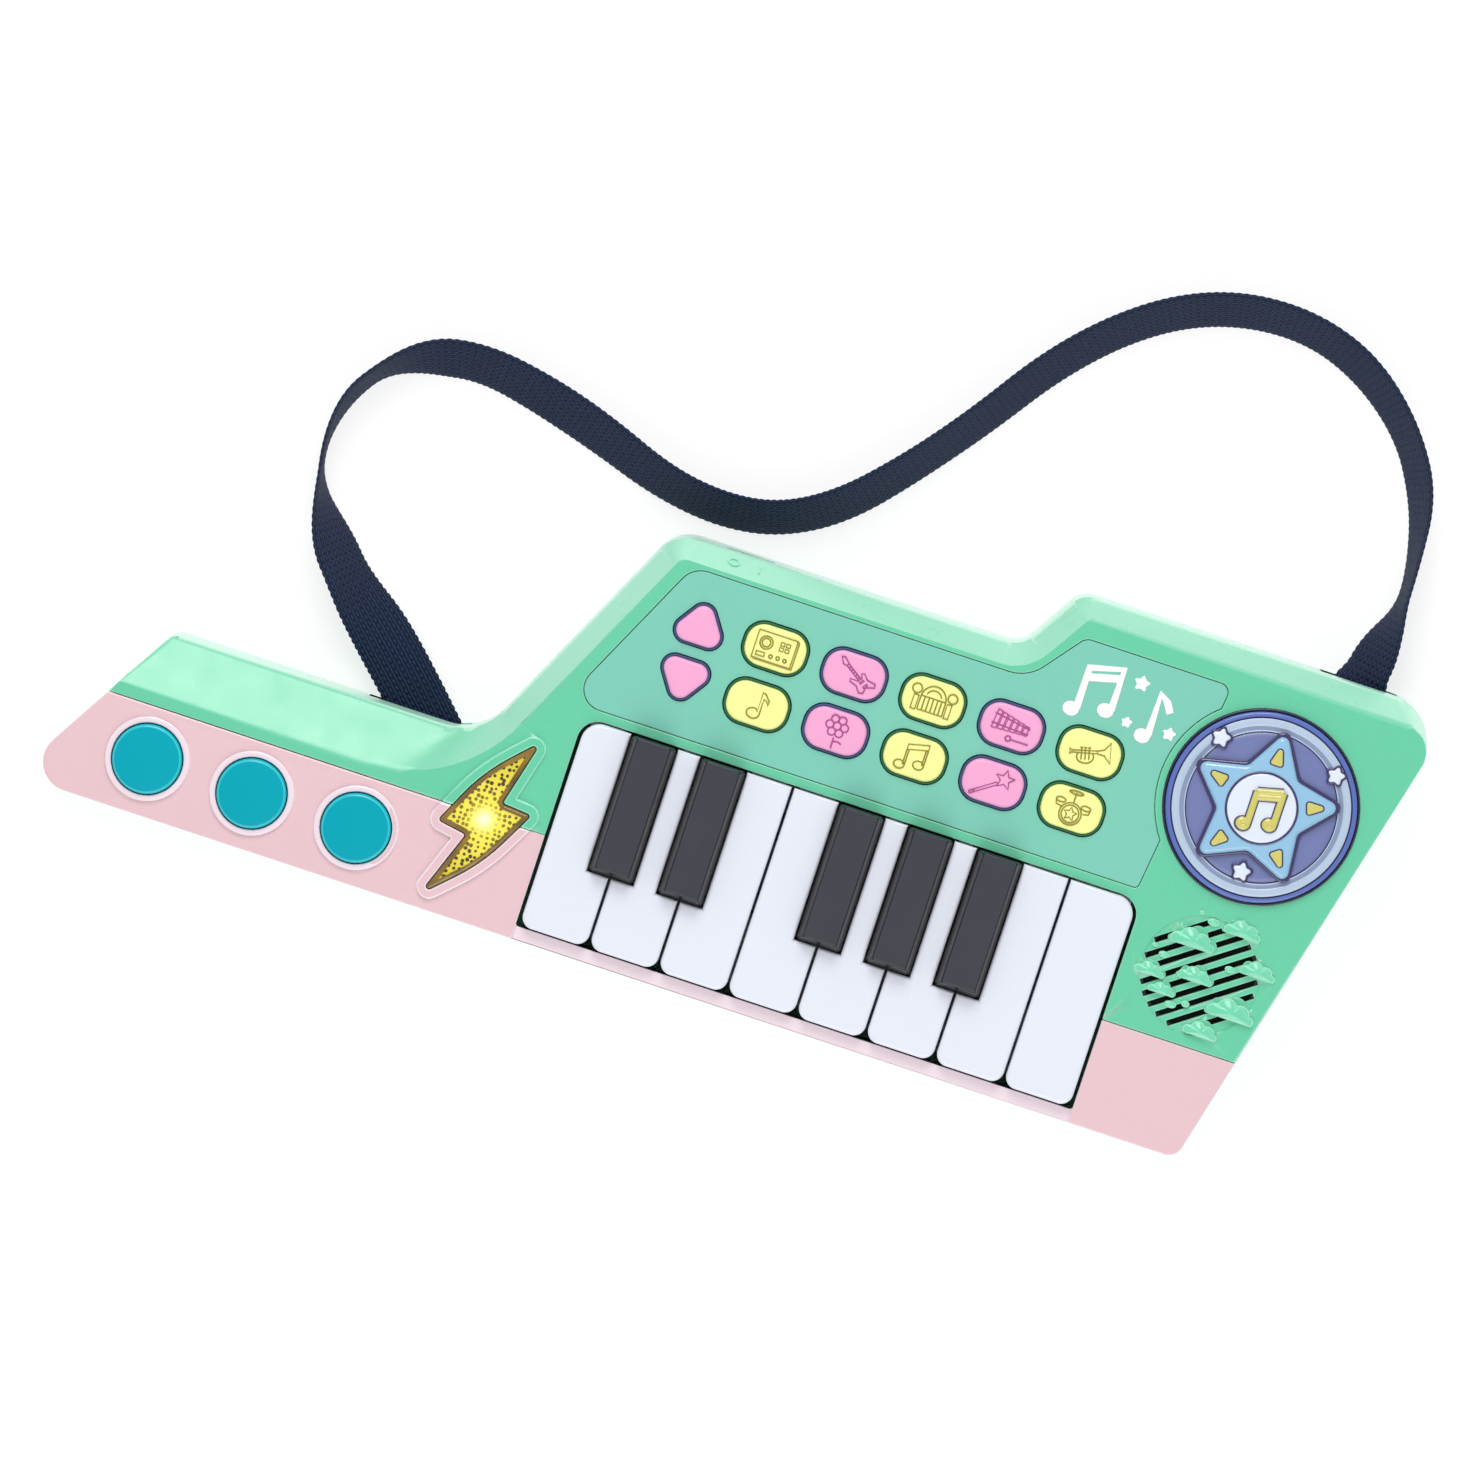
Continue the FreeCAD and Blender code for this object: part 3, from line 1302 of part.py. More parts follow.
def strap_ribbon(stations, leans, length):
    """The flat webbing, ruled from section to section along its route."""
    half_width, half_thick = size("strap_width") / 2, size("strap_thickness") / 2
    start_height, end_height = (middle.z for middle, away in anchor_frames())
    held_length, free_length = 25.0, 70.0
    sections = []
    travelled = 0.0
    for index, (place, direction) in enumerate(stations):
        travelled += (place - stations[index - 1][0]).Length if index else 0.0
        near_end = min(travelled, length - travelled)
        exit_height = start_height if travelled < length / 2 else end_height
        held = max(0.0, min(1.0, (free_length - near_end) / (free_length - held_length)))
        lean = math.radians(leans[index])
        resting = strap_height(leans[index])
        height = max(resting, resting * (1 - held) + exit_height * held)
        outward = Vector(direction.y, -direction.x, 0)
        across = outward * math.cos(lean) - Vector(0, 0, math.sin(lean))
        normal = direction.cross(across).normalize()
        middle = place + Vector(0, 0, height)
        corners = [
            middle + across * (a * half_width) + normal * (b * half_thick)
            for a, b in ((-1, -1), (1, -1), (1, 1), (-1, 1))
        ]
        sections.append(Part.makePolygon(corners + [corners[0]]))
    return Part.makeLoft(sections, True, True)


def strap():
    """The webbing with a sewn loop round the anchor bar at each end."""
    stations = strap_stations()
    leans, length = eased_leans(stations)
    webbing = strap_ribbon(stations, leans, length)
    expected = length * size("strap_width") * size("strap_thickness")
    print(f"strap: {length:.0f} mm long, volume {webbing.Volume:.0f} of {expected:.0f} cubic mm")
    bore = size("anchor_radius") + size("anchor_play")
    outside = bore + size("strap_thickness")
    pieces = [webbing]
    for middle, away in anchor_frames():
        sideways = Vector(-away.y, away.x, 0)
        start = middle - away * anchor_setback() - sideways * (size("strap_width") / 2)
        loop = Part.makeCylinder(outside, size("strap_width"), start, sideways)
        pieces.append(loop.cut(Part.makeCylinder(bore, size("strap_width"), start, sideways)))
    feature = doc.addObject("Part::Feature", "strap")
    feature.Label = "strap"
    feature.Shape = Part.makeCompound(pieces)
    feature.Placement = FreeCAD.Placement()
    return feature


def strap_anchor_bars():
    """The two bars inside the case that the strap's sewn ends loop round."""
    bars = []
    for number, (middle, away) in enumerate(anchor_frames(), start=1):
        bar = doc.addObject("Part::Cylinder", f"anchor_bar_{number}")
        bar.setExpression("Radius", bound("anchor_radius"))
        bar.setExpression("Height", bound("anchor_length"))
        sideways = Vector(-away.y, away.x, 0)
        start = middle - away * anchor_setback() - sideways * (size("anchor_length") / 2)
        bar.Placement = FreeCAD.Placement(start, FreeCAD.Rotation(Vector(0, 0, 1), sideways))
        bars.append(bar)
    pair = doc.addObject("Part::Compound", "strap_anchor_bars")
    pair.Label = "strap_anchor_bars"
    pair.Links = bars
    doc.recompute()
    return pair


# ------------------------------------------------------------------------------------- build


def build_all():
    """Every sub-part of the toy, in the order that it is put together."""
    parts = [rear_shell(), front_shell(), lower_front_cover(), control_panel()]
    parts += [key_chassis(), key_hinge_rod(), key_circuit_board(), key_contact_mat()]
    parts += [white_key(number) for number in range(1, WHITE_COUNT + 1)]
    parts += [black_key(number) for number in range(1, len(BLACK_AFTER) + 1)]
    parts += [mode_button(number) for number in range(1, 11)]
    parts += [volume_button(True), volume_button(False)]
    parts += [neck_button(number) for number in range(1, 4)]
    parts += [medallion_button(), medallion_ring(), medallion_contact_pad()]
    parts += [button_contact_mat(), main_circuit_board(), neck_contact_mat(), neck_circuit_board()]
    parts += [bolt_lens(), bolt_light_board(), speaker_frame(), speaker_cone(), speaker_magnet()]
    parts += [power_switch_body(), power_switch_knob(), batteries(), battery_contacts()]
    parts += [battery_door(), battery_door_screw(), case_screws(), strap_anchor_bars(), strap()]
    return parts


def check(parts):
    """Stops the build if a feature failed or a sub-part has no sound solid."""
    for item in doc.Objects:
        if "Invalid" in item.State or "Error" in item.State:
            raise RuntimeError(f"{item.Label} failed: {item.State}")
    for part in parts:
        if part.Shape.isNull() or not part.Shape.isValid() or not part.Shape.Solids:
            raise RuntimeError(f"{part.Label} has no valid solid")


sub_parts = build_all()
doc.recompute()
check(sub_parts)
os.makedirs("parts", exist_ok=True)
for sub_part in sub_parts:
    sub_part.Shape.exportStep(f"parts/{sub_part.Label}.step")
print(f"{len(sub_parts)} sub-parts written")
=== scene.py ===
"""The looks of a child's guitar-shaped toy keyboard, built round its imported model.

Lengths are written in millimetres and turned into metres by MM, except the strap's route.
"""

import json
import math

import bmesh
import bpy
from mathutils import Matrix, Vector
from mathutils.geometry import delaunay_2d_cdt

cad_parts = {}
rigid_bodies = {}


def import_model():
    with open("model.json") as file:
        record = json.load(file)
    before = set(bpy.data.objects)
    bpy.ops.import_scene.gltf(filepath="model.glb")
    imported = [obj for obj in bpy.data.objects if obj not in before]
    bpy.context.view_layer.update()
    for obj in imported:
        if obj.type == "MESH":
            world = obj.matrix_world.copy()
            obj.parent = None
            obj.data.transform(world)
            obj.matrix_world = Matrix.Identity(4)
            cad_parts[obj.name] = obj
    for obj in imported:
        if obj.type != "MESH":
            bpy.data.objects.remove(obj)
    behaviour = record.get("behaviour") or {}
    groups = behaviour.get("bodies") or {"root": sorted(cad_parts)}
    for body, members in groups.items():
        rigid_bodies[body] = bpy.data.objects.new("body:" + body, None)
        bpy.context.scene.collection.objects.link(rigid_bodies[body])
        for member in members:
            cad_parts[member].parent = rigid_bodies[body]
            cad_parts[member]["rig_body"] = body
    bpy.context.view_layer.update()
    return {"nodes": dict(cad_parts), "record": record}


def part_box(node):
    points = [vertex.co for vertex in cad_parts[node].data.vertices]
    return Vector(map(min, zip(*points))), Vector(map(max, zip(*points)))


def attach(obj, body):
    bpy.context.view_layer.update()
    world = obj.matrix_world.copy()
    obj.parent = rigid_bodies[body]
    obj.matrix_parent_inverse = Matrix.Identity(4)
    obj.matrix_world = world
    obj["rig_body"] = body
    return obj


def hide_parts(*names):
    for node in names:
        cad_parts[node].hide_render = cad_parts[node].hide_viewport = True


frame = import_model()

MM = 0.001
FACE = 36.0
BEVEL_FOOT = 26.0
CASE = "case"

scene = bpy.context.scene


# ---------- camera


def add_object(name, data):
    """Puts a mesh, camera or light in the scene."""
    thing = bpy.data.objects.new(name, data)
    scene.collection.objects.link(thing)
    return thing


def place_camera():
    """Looks down on the toy through a long lens, turned so that the neck rises to the left."""
    roll, tilt = math.radians(18.3), math.radians(4.0)
    distance, seen_width = 3.0, 476.5 * MM
    target = Vector((-0.3, 3.03, FACE)) * MM
    table_up = Vector((0, math.cos(tilt), -math.sin(tilt)))
    back = Vector((0, math.sin(tilt), math.cos(tilt)))
    right = Vector((1, 0, 0)) * math.cos(roll) + table_up * math.sin(roll)
    up = back.cross(right)
    data = bpy.data.cameras.new("camera")
    data.angle = 2 * math.atan(seen_width / 2 / distance)
    data.clip_end = 100
    camera = add_object("camera", data)
    turn = Matrix((right, up, back)).transposed().to_4x4()
    camera.matrix_world = Matrix.Translation(target + back * distance) @ turn
    scene.camera = camera


place_camera()


# ---------- node materials


def linear(red, green, blue):
    """A colour given as 0 to 255 display values, as the shader wants it."""
    channels = []
    for value in (red, green, blue):
        share = value / 255
        channels.append(share / 12.92 if share <= 0.04045 else ((share + 0.055) / 1.055) ** 2.4)
    return (*channels, 1.0)


def shade(colour, factor):
    """The same colour, lighter or darker."""
    return tuple(min(1.0, channel * factor) for channel in colour[:3]) + (1.0,)


def paler(colour, share):
    """The same colour, moved part of the way to white."""
    return tuple(channel + (1.0 - channel) * share for channel in colour[:3]) + (1.0,)


class Nodes:
    """A material's node tree, with short ways to add and join nodes."""

    def __init__(self, name):
        self.material = bpy.data.materials.new(name)
        self.material.use_nodes = True
        self.tree = self.material.node_tree
        self.shader = self.tree.nodes["Principled BSDF"]
        self.place = self.add("TexCoord")["Object"]

    def add(self, kind, inputs=None, **settings):
        """A new node; its inputs are numbers, vectors or other nodes' outputs."""
        node = self.tree.nodes.new("ShaderNode" + kind)
        for key, value in settings.items():
            setattr(node, key, value)
        self.feed(node, inputs or {})
        return node.outputs

    def feed(self, node, inputs):
        """Sets a node's inputs; those given as None are left alone."""
        for key, value in inputs.items():
            if isinstance(value, bpy.types.NodeSocket):
                self.tree.links.new(value, node.inputs[key])
            elif value is not None:
                node.inputs[key].default_value = value

    def surface(self, inputs):
        """Sets the shader's inputs and gives the finished material back."""
        self.feed(self.shader, inputs)
        return self.material

    def noise(self, scale, detail=3.0, roughness=0.5, place=None):
        return self.add("TexNoise", {"Vector": place or self.place, "Scale": scale, "Detail": detail,
                                     "Roughness": roughness})["Fac"]

    def span(self, value, low, high, to_low=0.0, to_high=1.0):
        """A value's stretch from low to high, clamped and spread over another."""
        return self.add("MapRange", {"Value": value, "From Min": low, "From Max": high,
                                     "To Min": to_low, "To Max": to_high})["Result"]

    def uneven(self, noise, low=0.0, high=1.0):
        """The middle part of a noise, spread between two values."""
        return self.span(noise, 0.3, 0.7, low, high)

    def maths(self, operation, first, second=0.0):
        return self.add("Math", {0: first, 1: second}, operation=operation)[0]

    def times(self, first, second):
        return self.maths("MULTIPLY", first, second)

    def vector(self, operation, first, second):
        outputs = self.add("VectorMath", {0: first, 1: second}, operation=operation)
        return outputs["Vector" if operation == "MULTIPLY" else "Value"]

    def mix(self, share, first, second):
        return self.add("Mix", {0: share, 6: first, 7: second}, data_type="RGBA")[2]

    def bump(self, height, distance, strength=1.0, under=None):
        return self.add("Bump", {"Height": height, "Distance": distance, "Strength": strength,
                                 "Normal": under})["Normal"]

    def edges(self, radius):
        """About 1 along outer edges and 0 on flat stretches, for edges that are partly worn and partly a
        painted highlight.
        """
        rounded_normal = self.add("Bevel", {"Radius": radius}, samples=4)["Normal"]
        normal = self.add("NewGeometry")["Normal"]
        return self.span(self.vector("DOT_PRODUCT", rounded_normal, normal), 0.98, 0.80)


def moulded(name, display, roughness=0.34, mottle=0.012, grain=0.25, coat=0.0, gloss=0.08,
            wear_and_highlight=0.0, scatter=0.0, painted_sheen=0.0, shine=0.5):
    """Injection-moulded plastic: faint flow marks, fine tool grain, handling smears, and edges paled partly
    as worn and partly as a painted highlight.

    The painted sheen is how far the base colour pales towards white where the surface is seen at a slant: a
    painted highlight on bevels.
    """
    nodes, colour = Nodes(name), linear(*display)
    tint = nodes.mix(nodes.noise(11.0), shade(colour, 1 - mottle), shade(colour, 1 + mottle))
    speck = nodes.span(nodes.noise(900.0, 2.0), 0.35, 0.75, 0.0, 0.10)
    tint = nodes.mix(speck, tint, shade(colour, 0.86))
    if wear_and_highlight:
        # Edges paled towards white: partly worn, partly a painted highlight along the edges.
        rub_and_highlight = nodes.times(nodes.edges(0.7 * MM), nodes.uneven(nodes.noise(160.0), 0.4 * wear_and_highlight, wear_and_highlight))
        tint = nodes.mix(rub_and_highlight, tint, paler(colour, 0.6))
    # Painted sheen: the base colour paled towards white at a slant, standing in for a glossy highlight.
    if painted_sheen:
        slant = nodes.add("LayerWeight")["Facing"]
        tint = nodes.mix(nodes.span(slant, 0.08, 0.6, 0.0, painted_sheen), tint, paler(shade(colour, 1.5), 0.5))
    stretched = nodes.vector("MULTIPLY", nodes.place, (700.0, 60.0, 200.0))
    hairline = nodes.span(nodes.noise(1.0, 5.0, 0.7, stretched), 0.62, 0.78, 0.0, 0.10)
    smear = nodes.uneven(nodes.noise(90.0, 4.0, 0.6), roughness - 0.05, roughness + 0.07)
    fine = nodes.bump(nodes.noise(4200.0, 2.0, 0.6), 0.02 * MM, grain)
    nodes.surface({"Base Color": tint, "Roughness": nodes.maths("ADD", smear, hairline), "Normal": fine,
                   "IOR": 1.53, "Specular IOR Level": shine})
    if coat:
        nodes.surface({"Coat Weight": coat, "Coat Roughness": gloss})
    if scatter:
        radius = (0.8 * MM, 0.8 * MM, 0.7 * MM)
        nodes.surface({"Subsurface Weight": scatter, "Subsurface Radius": radius, "Subsurface Scale": 1.0})
    return nodes.material


def webbing():
    """Woven polyester strap: floats of warp yarn in brick order, with lint and a worn sheen; painted shade
    darkens the gaps between the yarns and a painted highlight lightens their crowns.
    """
    nodes = Nodes("webbing")
    where = nodes.add("SeparateXYZ", {0: nodes.add("Attribute", attribute_name="strap_place")["Vector"]})
    along, across = where["X"], where["Y"]

    def wave(turns):
        return nodes.maths("SINE", nodes.times(turns, math.pi))

    yarn = nodes.maths("DIVIDE", across, YARN_PITCH * MM)
    odd = nodes.maths("MODULO", nodes.maths("FLOOR", yarn), 2.0)
    pick = nodes.maths("DIVIDE", along, PICK_PITCH * MM)
    float_height = nodes.maths("ABSOLUTE", wave(nodes.maths("ADD", pick, nodes.times(odd, 0.5))))
    rib = nodes.maths("ABSOLUTE", wave(pick))
    yarn_round = wave(nodes.maths("FRACT", yarn))
    height = nodes.times(nodes.maths("ADD", float_height, nodes.times(rib, 0.6)), yarn_round)
    stretched = nodes.add("CombineXYZ", {0: nodes.times(along, 900.0), 1: nodes.times(across, 9000.0)})[0]
    fibre = nodes.noise(1.0, 3.0, 0.6, stretched)
    # Painted shade and highlight: near black in the gaps between yarns, lighter on their crowns.
    tint = nodes.mix(nodes.span(height, 0.25, 1.35), linear(2, 5, 16), linear(34, 52, 94))
    tint = nodes.mix(nodes.span(fibre, 0.3, 0.75, 0.0, 0.2), tint, linear(62, 84, 128))
    tint = nodes.mix(nodes.span(nodes.noise(45.0), 0.35, 0.7, 0.0, 0.2), tint, linear(16, 26, 52))
    fine = nodes.bump(fibre, 0.05 * MM, 0.5)
    return nodes.surface({
        "Base Color": tint, "Normal": nodes.bump(height, 0.40 * MM, 1.0, fine),
        "Roughness": nodes.span(fibre, 0.2, 0.8, 0.55, 0.8), "Specular IOR Level": 0.25})


# ---------- the strap

STRAP_WIDTH = 20.0
STRAP_THICKNESS = 1.5
YARN_PITCH = 1.1
PICK_PITCH = 2.3

# The strap's route seen from above, in metres, from the anchor in the neck to the anchor in the
# body, with the lean of the webbing in degrees: 0 lies flat, 90 stands on its edge.
STRAP_ROUTE = [
    (-0.085, -0.0395, 0), (-0.112, -0.011, 8), (-0.143, 0.015, 48),
    (-0.16, 0.044, 91), (-0.154, 0.076, 78), (-0.126, 0.093, 50),
    (-0.086, 0.086, 46), (-0.038, 0.0685, 53), (0.0, 0.0745, 54),
    (0.034, 0.112, 58), (0.066, 0.16, 56), (0.104, 0.186, 55),
    (0.148, 0.186, 58), (0.184, 0.156, 66), (0.192, 0.114, 84),
    (0.187, 0.088, 48), (0.185, 0.072, 0),
]
NECK_SLOT_HEIGHT, BODY_SLOT_HEIGHT = 5.9, 8.8
HELD_LENGTH, FREE_LENGTH = 25.0, 70.0


def strap_heights():
    """The height of the webbing's middle at each point: resting on its lower edge, or held by a slot."""
    places = [Vector((x, y, 0)) for x, y, lean in STRAP_ROUTE]
    travelled = [0.0]
    for before, after in zip(places, places[1:]):
        travelled.append(travelled[-1] + (after - before).length / MM)
    heights = []
    for (x, y, lean), distance in zip(STRAP_ROUTE, travelled):
        lean = math.radians(lean)
        resting = STRAP_WIDTH / 2 * math.sin(lean) + STRAP_THICKNESS / 2 * math.cos(lean) + 0.05
        near_end = min(distance, travelled[-1] - distance)
        slot = NECK_SLOT_HEIGHT if distance < travelled[-1] / 2 else BODY_SLOT_HEIGHT
        held = max(0.0, min(1.0, (FREE_LENGTH - near_end) / (FREE_LENGTH - HELD_LENGTH)))
        heights.append(max(resting, resting * (1 - held) + slot * held) * MM)
    return heights


def curve_mesh(data):
    guide = bpy.data.objects.new(data.name, data)
    mesh = bpy.data.meshes.new_from_object(guide)
    bpy.data.objects.remove(guide)
    return mesh


def smooth_line(points):
    """The points along a smooth curve that has the given points as its controls."""
    data = bpy.data.curves.new("route", "CURVE")
    data.dimensions = "3D"
    spline = data.splines.new("NURBS")
    spline.points.add(len(points) - 1)
    for control, point in zip(spline.points, points):
        control.co = (*point, 1.0)
    spline.order_u = 3
    spline.use_endpoint_u = True
    spline.resolution_u = 24
    mesh = curve_mesh(data)
    line = [vertex.co.copy() for vertex in mesh.vertices]
    bpy.data.meshes.remove(mesh)
    return line


def evenly(line, step):
    """Places along a line at even steps, each with its distance from the start."""
    lengths = [(after - before).length for before, after in zip(line, line[1:])]
    total = sum(lengths)
    count = round(total / step)
    stations, index, passed = [], 0, 0.0
    for number in range(count + 1):
        distance = total * number / count
        while index < len(lengths) - 1 and passed + lengths[index] < distance:
            passed += lengths[index]
            index += 1
        share = (distance - passed) / lengths[index]
        stations.append((line[index].lerp(line[index + 1], share), distance))
    return stations


def strap_leans(stations):
    """The lean at each station, eased between the route's points."""
    marks = []
    for x, y, lean in STRAP_ROUTE:
        nearest = min(stations, key=lambda station: (station[0].xy - Vector((x, y))).length)
        marks.append((nearest[1], lean))
    leans = []
    for place, distance in stations:
        after = next((i for i, mark in enumerate(marks) if mark[0] >= distance), len(marks) - 1)
        before = max(after - 1, 0)
        gap = marks[after][0] - marks[before][0]
        share = (distance - marks[before][0]) / gap if gap > 0 else 0.0
        share = max(0.0, min(1.0, share))
        share = share * share * (3 - 2 * share)
        leans.append(math.radians(marks[before][1] + (marks[after][1] - marks[before][1]) * share))
    return leans


def strap_section(distance):
    """The webbing's cross-section at a distance: a flat oval with ribs, its edges scalloped."""
    swell = abs(math.sin(math.pi * distance / PICK_PITCH))
    half_width = STRAP_WIDTH / 2 - 0.4 + 0.4 * swell
    columns = 16
    section = []
    for side in (1, -1):
        for column in range(columns + 1):
            share = -1 + 2 * column / columns if side == 1 else 1 - 2 * column / columns
            edge = max(0.0, 1 - abs(share) ** 6) ** 0.5
            thick = (STRAP_THICKNESS / 2 - 0.1 + 0.1 * swell) * (0.30 + 0.70 * edge)
            section.append((share * half_width, side * thick))
    return section


def build_strap():
    """The webbing laid along its route."""
    points = [(x, y, height) for (x, y, lean), height in zip(STRAP_ROUTE, strap_heights())]
    line = smooth_line(points)
    stations = evenly(line, PICK_PITCH / 4 * MM)
    leans = strap_leans(stations)
    bm = bmesh.new()
    place_layer = bm.verts.layers.float_vector.new("strap_place")
    loops = []
    for index, (place, distance) in enumerate(stations):
        before, after = stations[max(index - 1, 0)][0], stations[min(index + 1, len(stations) - 1)][0]
        direction = (after - before).normalized()
        flat = Vector((direction.x, direction.y, 0)).normalized()
        lean = leans[index]
        across = Vector((flat.y, -flat.x, 0)) * math.cos(lean) - Vector((0, 0, 1)) * math.sin(lean)
        normal = direction.cross(across).normalized()
        section = strap_section(distance / MM)
        corners = [place + (across * width + normal * height) * MM for width, height in section]
        lift = max(0.0, 0.03 * MM - min(corner.z for corner in corners))
        loop = []
        for corner, (width, height) in zip(corners, section):
            vertex = bm.verts.new(corner + Vector((0, 0, lift)))
            vertex[place_layer] = (distance, (width + STRAP_WIDTH) * MM, 0.0)
            loop.append(vertex)
        loops.append(loop)
    join_loops(bm, loops)
    bm.faces.new(loops[0][::-1])
    bm.faces.new(loops[-1])
    strap = finish_mesh("strap_webbing", bm, [webbing()], CASE, sharp=180)
    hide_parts("strap")


# ---------- mesh helpers


def join_loops(bm, loops, slots=None):
    """Quads between neighbouring closed loops of the same length."""
    for index, (low, high) in enumerate(zip(loops, loops[1:])):
        for turn in range(len(low)):
            following = (turn + 1) % len(low)
            face = bm.faces.new((low[turn], low[following], high[following], high[turn]))
            face.material_index = slots[index] if slots else 0


def add_piece(name, mesh, materials, body):
    """Puts a smooth mesh in the scene as a piece that rides on a body."""
    for material in materials:
        mesh.materials.append(material)
    mesh.polygons.foreach_set("use_smooth", [True] * len(mesh.polygons))
    piece = add_object(name, mesh)
    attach(piece, body)
    return piece


def mesh_of(name, bm):
    mesh = bpy.data.meshes.new(name)
    bm.to_mesh(mesh)
    bm.free()
    return mesh


def finish_mesh(name, bm, materials, body, sharp=40):
    """Turns a bmesh into a shaded piece with sharp creases."""
    bmesh.ops.recalc_face_normals(bm, faces=bm.faces)
    mesh = mesh_of(name, bm)
    mesh.set_sharp_from_angle(angle=math.radians(sharp))
    return add_piece(name, mesh, materials, body)


def body_of(node):
    """The body that a CAD node rides on."""
    return frame["nodes"][node]["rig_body"]


def cad_copy(node):
    """A CAD node's shape as clean many-sided faces."""
    bm = bmesh.new()
    bm.from_mesh(frame["nodes"][node].data)
    bmesh.ops.remove_doubles(bm, verts=bm.verts, dist=0.004 * MM)
    bmesh.ops.dissolve_limit(bm, angle_limit=math.radians(0.6), verts=bm.verts, edges=bm.edges)
    return bm


def soften(bm, width, segments, chosen, least_angle):
    """Rounds the outer edges that a rule chooses."""
    limit = math.radians(least_angle)
    edges = [
        edge for edge in bm.edges
        if len(edge.link_faces) == 2 and edge.is_convex and edge.calc_face_angle(0) > limit and chosen(edge)
    ]
    if edges:
        bmesh.ops.bevel(bm, geom=edges, offset=width * MM, offset_type="OFFSET", segments=segments,
                        profile=0.5, affect="EDGES", clamp_overlap=False, loop_slide=True)


def lowest(edge):
    return min(vertex.co.z for vertex in edge.verts) / MM


def highest(edge):
    return max(vertex.co.z for vertex in edge.verts) / MM


def is_bevel_crease(edge):
    """Along the top or the foot of the casing's slanted upper edges."""
    slanted = any(0.15 < abs(face.normal.z) < 0.97 and face.calc_area() > 4 * MM ** 2
                  for face in edge.link_faces)
    level = highest(edge) - lowest(edge) < 0.02
    return slanted and level and any(abs(lowest(edge) - height) < 0.05 for height in (FACE, BEVEL_FOOT))


def is_outer_rim(edge):
    """Along the top of the casing's tall outside walls."""
    for face in edge.link_faces:
        heights = [vertex.co.z / MM for vertex in face.verts]
        if abs(face.normal.z) < 0.1 and max(heights) - min(heights) > 7 and lowest(edge) > 30:
            return highest(edge) - lowest(edge) < 0.02
    return False


def flat_as_triangles(bm, least_corners=16):
    """Cuts each level face with many corners into triangles that never fold over."""
    wide = [face for face in bm.faces if len(face.verts) >= least_corners and abs(face.normal.z) > 0.999]
    for face in wide:
        corners = list(face.verts)
        height, slot, way = corners[0].co.z, face.material_index, 1 if face.normal.z > 0 else -1
        places, edges, triangles, origins, _, _ = delaunay_2d_cdt(
            [corner.co.xy for corner in corners], [], [list(range(len(corners)))], 1, 1e-7)
        vertices = [corners[origin[0]] if origin else bm.verts.new((*place, height))
                    for place, origin in zip(places, origins)]
        bmesh.ops.delete(bm, geom=[face], context="FACES_ONLY")
        for triangle in triangles:
            made = [vertices[index] for index in triangle][::way]
            if bm.faces.get(made) is None:
                bm.faces.new(made).material_index = slot


def refined(node, materials, passes, adjust=None, paint=None):
    """A CAD node's shape, which already faces outward, with its edges rounded; it stands for the node."""
    bm = cad_copy(node)
    if adjust:
        adjust(bm)
    for width, segments, chosen, least_angle in passes:
        soften(bm, width, segments, chosen, least_angle)
    flat_as_triangles(bm)
    if paint:
        bm.normal_update()
        paint(bm)
    mesh = mesh_of(f"{node}_moulded", bm)
    mesh.set_sharp_from_angle(angle=math.radians(35))
    piece = add_piece(f"{node}_moulded", mesh, materials, body_of(node))
    modifier = piece.modifiers.new("even_shading", "WEIGHTED_NORMAL")
    modifier.keep_sharp = True
    modifier.weight = 80
    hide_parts(node)


def walked(corners):
    """Each corner of an outline with its radius and the sides that lead into and out of it."""
    for index, (x, y, radius) in enumerate(corners):
        here = Vector((x, y))
        before, after = Vector(corners[index - 1][:2]), Vector(corners[(index + 1) % len(corners)][:2])
        yield here, radius, here - before, after - here


def offset_corners(corners, distance):
    """An outline of rounded corners grown outward by a distance."""
    grown = []
    for here, radius, side_in, side_out in walked(corners):
        into, out = side_in.normalized(), side_out.normalized()
        outward = Vector((into.y, -into.x))
        bisector = (outward + Vector((out.y, -out.x))).normalized()
        reach = distance / max(0.2, bisector.dot(outward))
        turn = into.x * out.y - into.y * out.x
        softer = radius + (distance if turn > 0 else -distance)
        grown.append((*(here + bisector * reach), max(0.15, softer)))
    return grown


def rounded(corners, arc_points):
    """Points round an outline, each corner an arc with the same number of points."""
    outline = []
    for here, radius, side_in, side_out in walked(corners):
        into, out = side_in.normalized(), side_out.normalized()
        turn = math.atan2(into.x * out.y - into.y * out.x, into.dot(out))
        slope = math.tan(abs(turn) / 2)
        reach = min(radius * slope, 0.49 * min(side_in.length, side_out.length))
        side = 1 if turn > 0 else -1
        start = here - into * reach
        centre = start + Vector((-into.y, into.x)) * (side * reach / slope)
        arm = start - centre
        for part in range(arc_points):
            angle = turn * part / (arc_points - 1)
            cosine, sine = math.cos(angle), math.sin(angle)
            outline.append(centre + Vector((arm.x * cosine - arm.y * sine, arm.x * sine + arm.y * cosine)))
    return outline


def polygon(corners, arc_points):
    """A shape for stacked(): an outline of rounded corners that can be grown."""
    return lambda growth: rounded(offset_corners(corners, growth) if growth else corners, arc_points)


def oval(half_length, half_width, points=24):
    """An oval for stacked()."""
    angles = [math.tau * turn / points for turn in range(points)]
    return lambda growth: [Vector(((half_length + growth) * math.cos(angle),
                                   (half_width + growth) * math.sin(angle))) for angle in angles]


def disc(radius, points=72):
    return oval(radius, radius, points)


